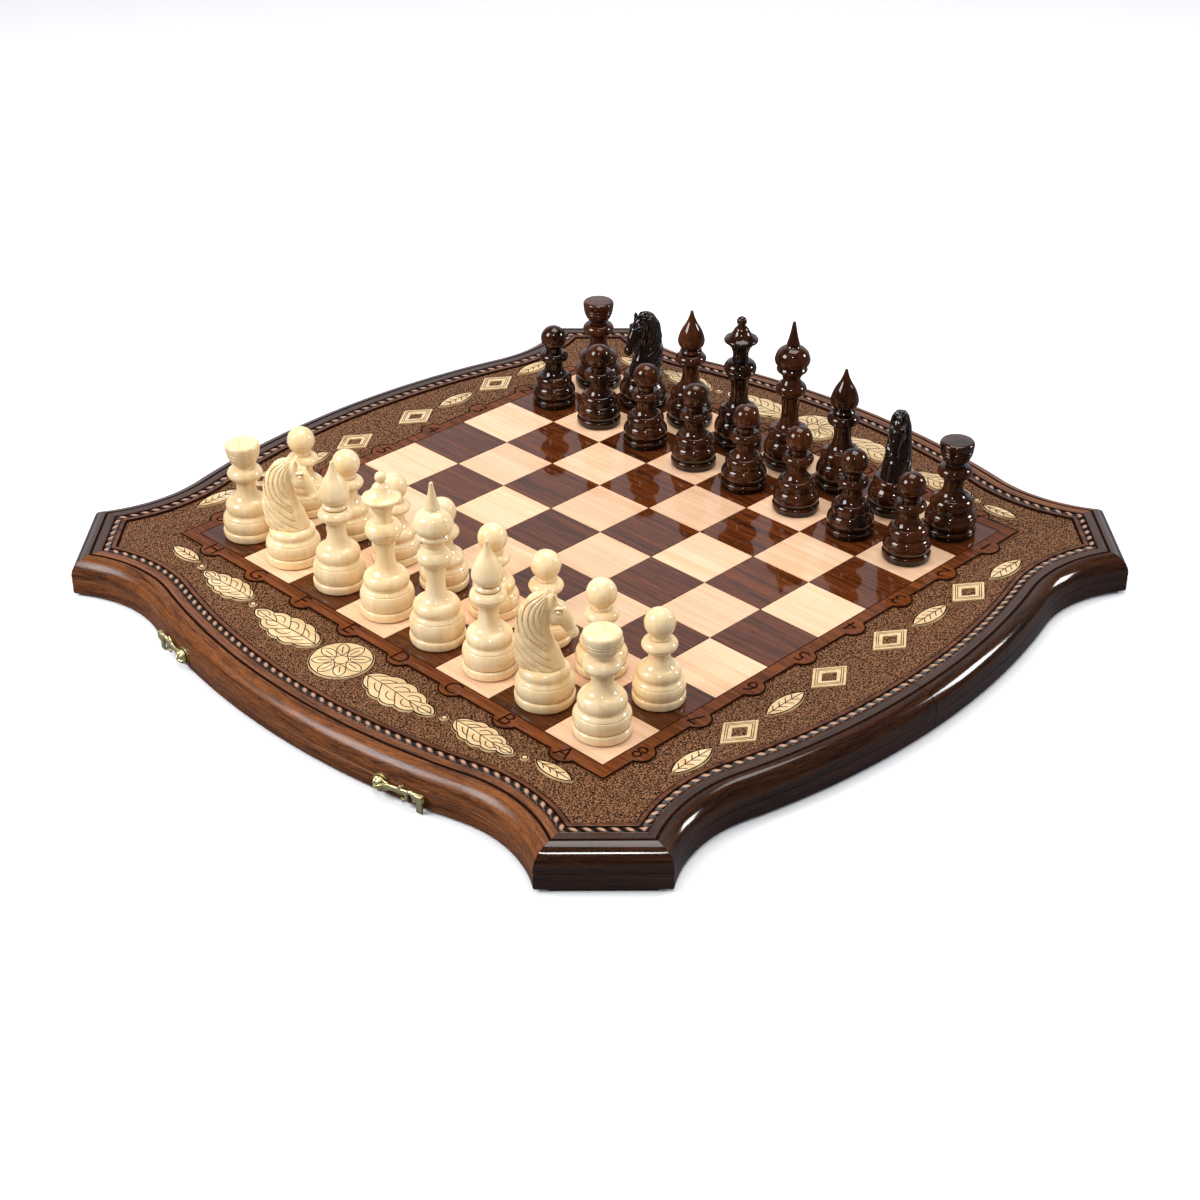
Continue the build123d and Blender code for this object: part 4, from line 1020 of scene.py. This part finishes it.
def block(grid, middle, half, edge):
    """Signed distance to a block with rounded edges."""
    away = [np.abs(axis - centre) - size for axis, centre, size in zip(grid, middle, half)]
    outside = np.sqrt(sum(np.maximum(part, 0.0) ** 2 for part in away))
    return outside + np.minimum(np.maximum.reduce(away), 0.0) - edge


def hook_skin():
    """Skin of the right hook, as (along the rail, out of it, up)."""
    grid = along, out, up = grid_of(HOOK_LOW, HOOK_HIGH, HOOK_SAMPLE)
    middle = np.interp(along, [place[0] for place in ARM_CHAIN], [place[1] for place in ARM_CHAIN])
    flutes = FLUTE_DEPTH * (1.0 - np.abs(np.cos(pi * (up - middle) / FLUTE_WIDTH))) ** 1.5
    form = chain(grid, ARM_CHAIN, 2.0) + flutes * (along > FLUTES_FROM) * (along < FLUTES_TO)
    form = form + swirl(along, up, 0.6) * (along < FLUTES_FROM)
    form = melted(form, np.hypot(np.hypot(along - HOOK_REACH, up) - RING_RADIUS, out) - RING_WIRE, 0.5)
    form = melted(form, chain(grid, LEAF_CHAIN, 1.3), 0.5)
    form = melted(form, block(grid, *SHOULDER_BLOCK), 0.4)
    form = melted(form, block(grid, *FINGER_TAB), 0.5)
    form = np.maximum(form, HOOK_MOUTH - np.hypot(along - HOOK_REACH, np.maximum(up, 0.0)))
    form = melted(form, chain(grid, CURL_CHAIN, 1.1), 0.3)
    return solid_skin(form, HOOK_LOW, HOOK_SAMPLE)


def dome_skin():
    """Skin of a pivot screw's chased dome, as (along the rail, out of it, up)."""
    along, out, up = grid_of(DOME_LOW, DOME_HIGH, HOOK_SAMPLE)
    ball = np.sqrt((along ** 2 + up ** 2) / DOME_RADIUS ** 2 + (out / DOME_HEIGHT) ** 2)
    form = (ball - 1.0) * DOME_HEIGHT + swirl(along, up, 0.75) * np.clip(np.hypot(along, up) / 1.2, 0.0, 1.0)
    return solid_skin(np.maximum(form, -out), DOME_LOW, HOOK_SAMPLE)


def on_rail(points, out_by, mirror):
    """Points on the near rail at the right hook's pivot, or at the left one's when mirror is -1."""
    turn = asin(HOOK_PLACE / (BOW_RADIUS + MOULDING))
    foot = BOW_RADIUS - EDGE_CROWN - (BOW_RADIUS + MOULDING) * cos(turn)
    along, out, up = points[:, 0], points[:, 1] + out_by, points[:, 2]
    across = HOOK_PLACE + along * cos(turn) + out * sin(turn)
    deep = foot + along * sin(turn) - out * cos(turn)
    return np.column_stack([mirror * across, deep, up + HOOK_HEIGHT])


fitting_brass = cast_brass("chased_cast_brass", "#F3E8B8", "#D6C688", 0.36, 2.0, hollow_stain_and_shade=("#2E2712", 1.2))
dress("hook_plates", fitting_brass)
dress("catch_studs", fitting_brass)
hook_points, hook_faces = hook_skin()
dome_points, dome_faces = dome_skin()
for hand, mirror in (("right", 1), ("left", -1)):
    hook = built(f"{hand}_chased_hook", on_rail(hook_points, HOOK_MIDDLE, mirror), hook_faces,
                 fitting_brass, f"{hand}_hook", crease=60.0)
    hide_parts(f"{hand}_hook")
    dome = built(f"{hand}_chased_dome", on_rail(dome_points, DOME_BASE, mirror), dome_faces,
                 fitting_brass, "near_half", crease=60.0)
    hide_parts("hook_pivots")

# Maple inlays: pale leaves, berries and a rosette glued on the struck ground, and lozenges and leaves
# down the sides. Maple 1 mm thick with softened edges, its outlines and veins burnt in with a hot
# point, in rows of generic leaf ornament, under the same lacquer as the rest.
ROSETTE_PLACE = 198.0
ROSETTE_RADIUS = 18.0
PETALS = 8
PETAL = ((4.6, 0.0), (10.5, 3.4), (16.2, 0.0), (10.5, -3.4))
ROSETTE_RINGS = (4.0, 17.2)
GARLAND_GAP = 2.6
GARLAND_RISE = 2.4
LARGE_LEAF = (55.0, 21.0)
SMALL_LEAF = (45.0, 17.0)
END_LEAF = (27.0, 10.0)
LEAF_LOBES = 5
BERRY_RADIUS = 2.4
SIDE_INLAY_PLACE = 197.0
LOZENGE = (30.0, 22.0)
LOZENGE_BAND = 5.0
SIDE_LEAF = (32.0, 12.0)
SIDE_FIRST = 26.0
SIDE_STEP = 36.0
VEIN_WIDTH = 0.55
RIM_BURN_WIDTH = 0.8
RIM_BURN_INSET = 0.45
LOBE_BULGE = 0.18
INLAY_EDGE = 0.25


def raised(outline):
    """Skin of a flat inlay with this outline, its upper edge softened."""
    inwards = unit(outline.mean(0) - outline)
    steps = ((0.0, SUNK), (0.0, TOP - INLAY_EDGE), (0.3 * INLAY_EDGE, TOP - 0.3 * INLAY_EDGE),
             (INLAY_EDGE, TOP))
    return rings([at(outline + inwards * step, height) for step, height in steps])


def leaf_outline(length, width):
    """Pointed leaf between two arcs, from the origin along X."""
    root, tip = (0.0, 0.0), (length, 0.0)
    return arc(root, (length / 2, width / 2), tip) + arc(tip, (length / 2, -width / 2), root)


def lobed_leaf_outline(length, width):
    """Leaf with rounded lobes along both edges, from the origin along X, and the notches of one edge."""
    steps = [step / LEAF_LOBES for step in range(LEAF_LOBES + 1)]
    notches = [(length * step, width / 2 * sin(pi * step ** 0.75)) for step in steps]
    upper = []
    for (x0, y0), (x1, y1) in zip(notches, notches[1:]):
        bulge = ((x0 + x1) / 2 - (y1 - y0) * LOBE_BULGE, (y0 + y1) / 2 + (x1 - x0) * LOBE_BULGE)
        upper += arc((x0, y0), bulge, (x1, y1), 8)
    return upper + [(x, -y) for x, y in upper[-2::-1]] + [(0.0, 0.0)], notches


def ribs(places, start, near, far):
    """Burnt ribs at both sides of a leaf's vein, from each place over near to far."""
    return [[(x, start), (x + near[0], side * near[1]), (x + far[0], side * far[1])]
            for x in places for side in (1, -1)]


def lobe_lines(length, notches):
    """Burnt lines of a lobed leaf: its wavy vein, and a rib and a curl to each notch at both sides."""
    marks = [[(1.0 + (length - 3.0) * t, 0.6 * sin(2 * pi * t)) for t in np.linspace(0.0, 1.0, 18)]]
    for (x, y), (beyond, above) in zip(notches[1:-1], notches[2:]):
        for side in (1, -1):
            bend = (x - 0.09 * length, side * 0.45 * y)
            marks.append([(x - 0.16 * length, 0.0), bend, (x - 0.6, side * (y - 1.3))])
            root, crest = (x - 0.02 * length, side * 0.2 * y), (x + 0.05 * length, side * 0.62 * y)
            marks.append([root, *arc(root, crest, (beyond - 0.06 * length, side * 0.6 * above), 10)])
    return marks


def petal_lines():
    """Burnt lines of the rosette: petals round an eye, each with a vein, between two rings."""
    start, over, tip, under = PETAL
    outline = [start, *arc(start, over, tip, 10), *arc(tip, under, start, 10)]
    lines = [spun(line, 2 * pi * petal / PETALS) for petal in range(PETALS)
             for line in (outline, [(6.4, 0.0), (8.0, 0.25), (12.8, 0.0)])]
    return lines + [closed(circle(48)) * radius for radius in ROSETTE_RINGS]


def end_inlays():
    """Outlines of the near end's inlays, and the lines burnt on them, for its right half."""
    outlines, lines = [], []
    start = ROSETTE_RADIUS + GARLAND_GAP
    for number, size in enumerate((LARGE_LEAF, BERRY_RADIUS, SMALL_LEAF, BERRY_RADIUS, END_LEAF)):
        if size == BERRY_RADIUS:
            outline, marks, length = BERRY_RADIUS * (circle(20) + (1.0, 0.0)), [], 2 * BERRY_RADIUS
        elif size == END_LEAF:
            outline, length = leaf_outline(*size), size[0]
            marks = [[(1.5, 0.0), (length / 2, 0.3), (length - 2.0, 0.0)]]
            marks += ribs((5.0, 10.0, 15.0), 0.1, (2.2, 1.2), (3.6, 2.6))
        else:
            (outline, notches), length = lobed_leaf_outline(*size), size[0]
            marks = lobe_lines(length, notches)
        place = (start, number * GARLAND_RISE - ROSETTE_PLACE)
        outlines.append(np.array(outline) + place)
        lines += [np.array(mark) + place for mark in marks]
        start += length + GARLAND_GAP
    return outlines, lines


def side_inlays():
    """Outlines of the near half's right side inlays, holes of its lozenges, and lines burnt on them."""
    solid, open_marks, lines = [], [], []
    for number in range(4):
        along = -SIDE_FIRST - number * SIDE_STEP
        if number % 2:
            shapes = [leaf_outline(*SIDE_LEAF), [(2.0, 0.0), (16.0, 0.4), (30.0, 0.0)],
                      *ribs((6.0, 11.0, 16.0, 21.0), 0.0, (2.0, 1.6), (3.4, 3.2))]
            turned = [[(SIDE_INLAY_PLACE - y, along - SIDE_LEAF[0] / 2 + x) for x, y in shape]
                      for shape in shapes]
            solid.append(turned[0])
            lines += turned[1:]
        else:
            half = (LOZENGE[1] / 2, LOZENGE[0] / 2)
            corners = np.array([(half[0], 0), (0, half[1]), (-half[0], 0), (0, -half[1])])
            shrink = 1 - LOZENGE_BAND * np.hypot(*half) / (half[0] * half[1])
            middle = (SIDE_INLAY_PLACE, along)
            open_marks.append((corners + middle, corners * shrink + middle))
            for scale in (0.82, (1 + shrink) / 2 - 0.03):
                lines.append(closed(corners) * scale + middle)
    return solid, open_marks, lines


def frame_skin(outer, inner):
    """Skin of an open lozenge between two outlines of four corners."""
    steps = ((inner, SUNK), (outer, SUNK), (outer, TOP - INLAY_EDGE),
             (outer + (inner - outer) * 0.05, TOP), (inner + (outer - inner) * 0.08, TOP),
             (inner, TOP - INLAY_EDGE))
    return rings([at(ring, height) for ring, height in steps], capped=False)


def both_ways(shapes):
    """Shapes of the right half, then their mirror images."""
    return [np.asarray(shape, float) * (mirror, 1) for mirror in (1, -1) for shape in shapes]


def inlays():
    """Skins of the near half's inlays, and of the lines burnt on them."""
    end_outlines, end_lines = end_inlays()
    side_outlines, lozenges, side_lines = side_inlays()
    rosette = (0.0, -ROSETTE_PLACE)
    outlines = both_ways(end_outlines + side_outlines) + [ROSETTE_RADIUS * circle(64) + rosette]
    pale = [raised(outline) for outline in outlines]
    pale += [frame_skin(*both_ways(lozenge)[place:place + 2]) for lozenge in lozenges for place in (0, 2)]
    lines = both_ways(end_lines + side_lines) + [line + rosette for line in petal_lines()]
    burnt = [burnt_line(line, VEIN_WIDTH) for line in lines]
    for outline in outlines:
        ring = outline + unit(outline.mean(0) - outline) * (INLAY_EDGE + RIM_BURN_INSET)
        burnt.append(burnt_line(closed(ring), RIM_BURN_WIDTH))
    return joined(pale), joined(burnt)


inlay_maple = wood("inlay_maple", "#E0C69A", "#C4A070", 30.0, 1.4, coat=0.5)
(pale_points, pale_faces), (vein_points, vein_faces) = inlays()
for half, side in HALVES.items():
    leaves = built(f"{half}_carved_leaves", pale_points * (side, side, 1), pale_faces, inlay_maple,
                   f"{half}_half", crease=40.0)
    veins = built(f"{half}_burnt_veins", vein_points * (side, side, 1), vein_faces, burnt_wood,
                  f"{half}_half")
    for piece in (leaves, veins):
        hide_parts(f"{half}_maple_inlays")

# Floor, lights and camera: a white table under the board, four soft lamps above and beside it, a
# bright wall behind it that only its gloss mirrors, and the photograph's view.
CAMERA_PLACE = (0.76309, -0.77122, 0.62967)
CAMERA_AIM = (0.0552, -0.0559, 0.0236)
CAMERA_LENS = 62.57
TABLE_IN_GLOSS = "#6A6C72"
TABLE_HALF = 7
BEHIND_BOARD = (-0.707, 0.707, 0.0)


def placed(name, data, place, aim):
    """A lamp or a camera in the scene, turned to its aim."""
    holder = bpy.data.objects.new(name, data)
    holder.location = place
    holder.rotation_euler = (Vector(aim) - Vector(place)).to_track_quat("-Z", "Y").to_euler()
    bpy.context.scene.collection.objects.link(holder)
    return holder


def softbox(name, place, size, power, colour):
    """A square soft lamp, size metres wide, turned to the board's middle."""
    lamp = bpy.data.lights.new(name, "AREA")
    lamp.size = size
    lamp.energy = power
    lamp.color = linear(colour)[:3]
    placed(name, lamp, place, (0, 0, 0))


def white_table():
    """Smooth paper, 14 m across, flat under the board: white to the camera, and grey to what it lights
    and to what mirrors it."""
    material, tree, shader, place = blank("white_paper", {"Roughness": 0.9, "Specular IOR Level": 0.1})
    tooth = add(tree, "TexNoise", {"Scale": 900.0, "Detail": 2.0}, {"Vector": place})
    ramp = add(tree, "ValToRGB", {"stops": [(0.3, "#FBFBFD"), (0.7, "#FFFFFF")]}, {"Fac": tooth})
    seen = add(tree, "LightPath").outputs["Is Camera Ray"]
    tint = add(tree, "Mix", {"data_type": "RGBA", 6: linear(TABLE_IN_GLOSS)}, {0: seen, 7: ramp})
    wire(tree, shader, {"Base Color": tint.outputs[2]})
    mesh = bpy.data.meshes.new("table")
    corners = [(x * TABLE_HALF, y * TABLE_HALF, 0) for x, y in ((-1, -1), (1, -1), (1, 1), (-1, 1))]
    mesh.from_pydata(corners, [], [(0, 1, 2, 3)])
    mesh.materials.append(material)
    table = bpy.data.objects.new("table", mesh)
    bpy.context.scene.collection.objects.link(table)
    table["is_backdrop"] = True


white_table()
softbox("key", (-0.62, -1.15, 1.0), 0.7, 20.0, "#FFFFFF")
softbox("top", (-0.1, 0.4, 1.8), 1.1, 19.0, "#FFFDFA")
softbox("right", (0.9, 1.2, 0.7), 0.35, 9.0, "#FFFFFF")
softbox("front", (0.75, -0.75, 1.3), 0.15, 4.0, "#FFFDF8")

world = bpy.data.worlds.new("studio")
bpy.context.scene.world = world
world.use_nodes = True
sky = world.node_tree
ambient = sky.nodes["Background"]
ambient.inputs["Color"].default_value = linear("#F2F5FF")
ambient.inputs["Strength"].default_value = 0.5
facing = add(sky, "TexCoord").outputs["Generated"]
behind = add(sky, "VectorMath", {"operation": "DOT_PRODUCT", 1: BEHIND_BOARD}, {0: facing})
glow = add(sky, "MapRange", {"From Min": 0.45, "From Max": 0.85, "To Min": 0.08, "To Max": 0.95},
           {"Value": behind.outputs["Value"]})
dim = add(sky, "Background", {"Color": linear("#F4F5FA")}, {"Strength": glow})
paper = add(sky, "Background", {"Color": linear("#FFFFFF"), "Strength": 1.0})
path = add(sky, "LightPath")
seen = add(sky, "Math", {"operation": "MAXIMUM"},
           {0: path.outputs["Is Camera Ray"], 1: path.outputs["Is Transmission Ray"]})
room = add(sky, "MixShader", {}, {0: path.outputs["Is Glossy Ray"], 1: ambient, 2: dim})
shown = add(sky, "MixShader", {}, {0: seen, 1: room, 2: paper})
wire(sky, sky.nodes["World Output"], {"Surface": shown})

camera = bpy.data.cameras.new("photo_view")
camera.lens = CAMERA_LENS
camera.sensor_width = 36.0
bpy.context.scene.camera = placed("photo_view", camera, CAMERA_PLACE, CAMERA_AIM)
bpy.context.scene.view_settings.view_transform = "Standard"

low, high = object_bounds()
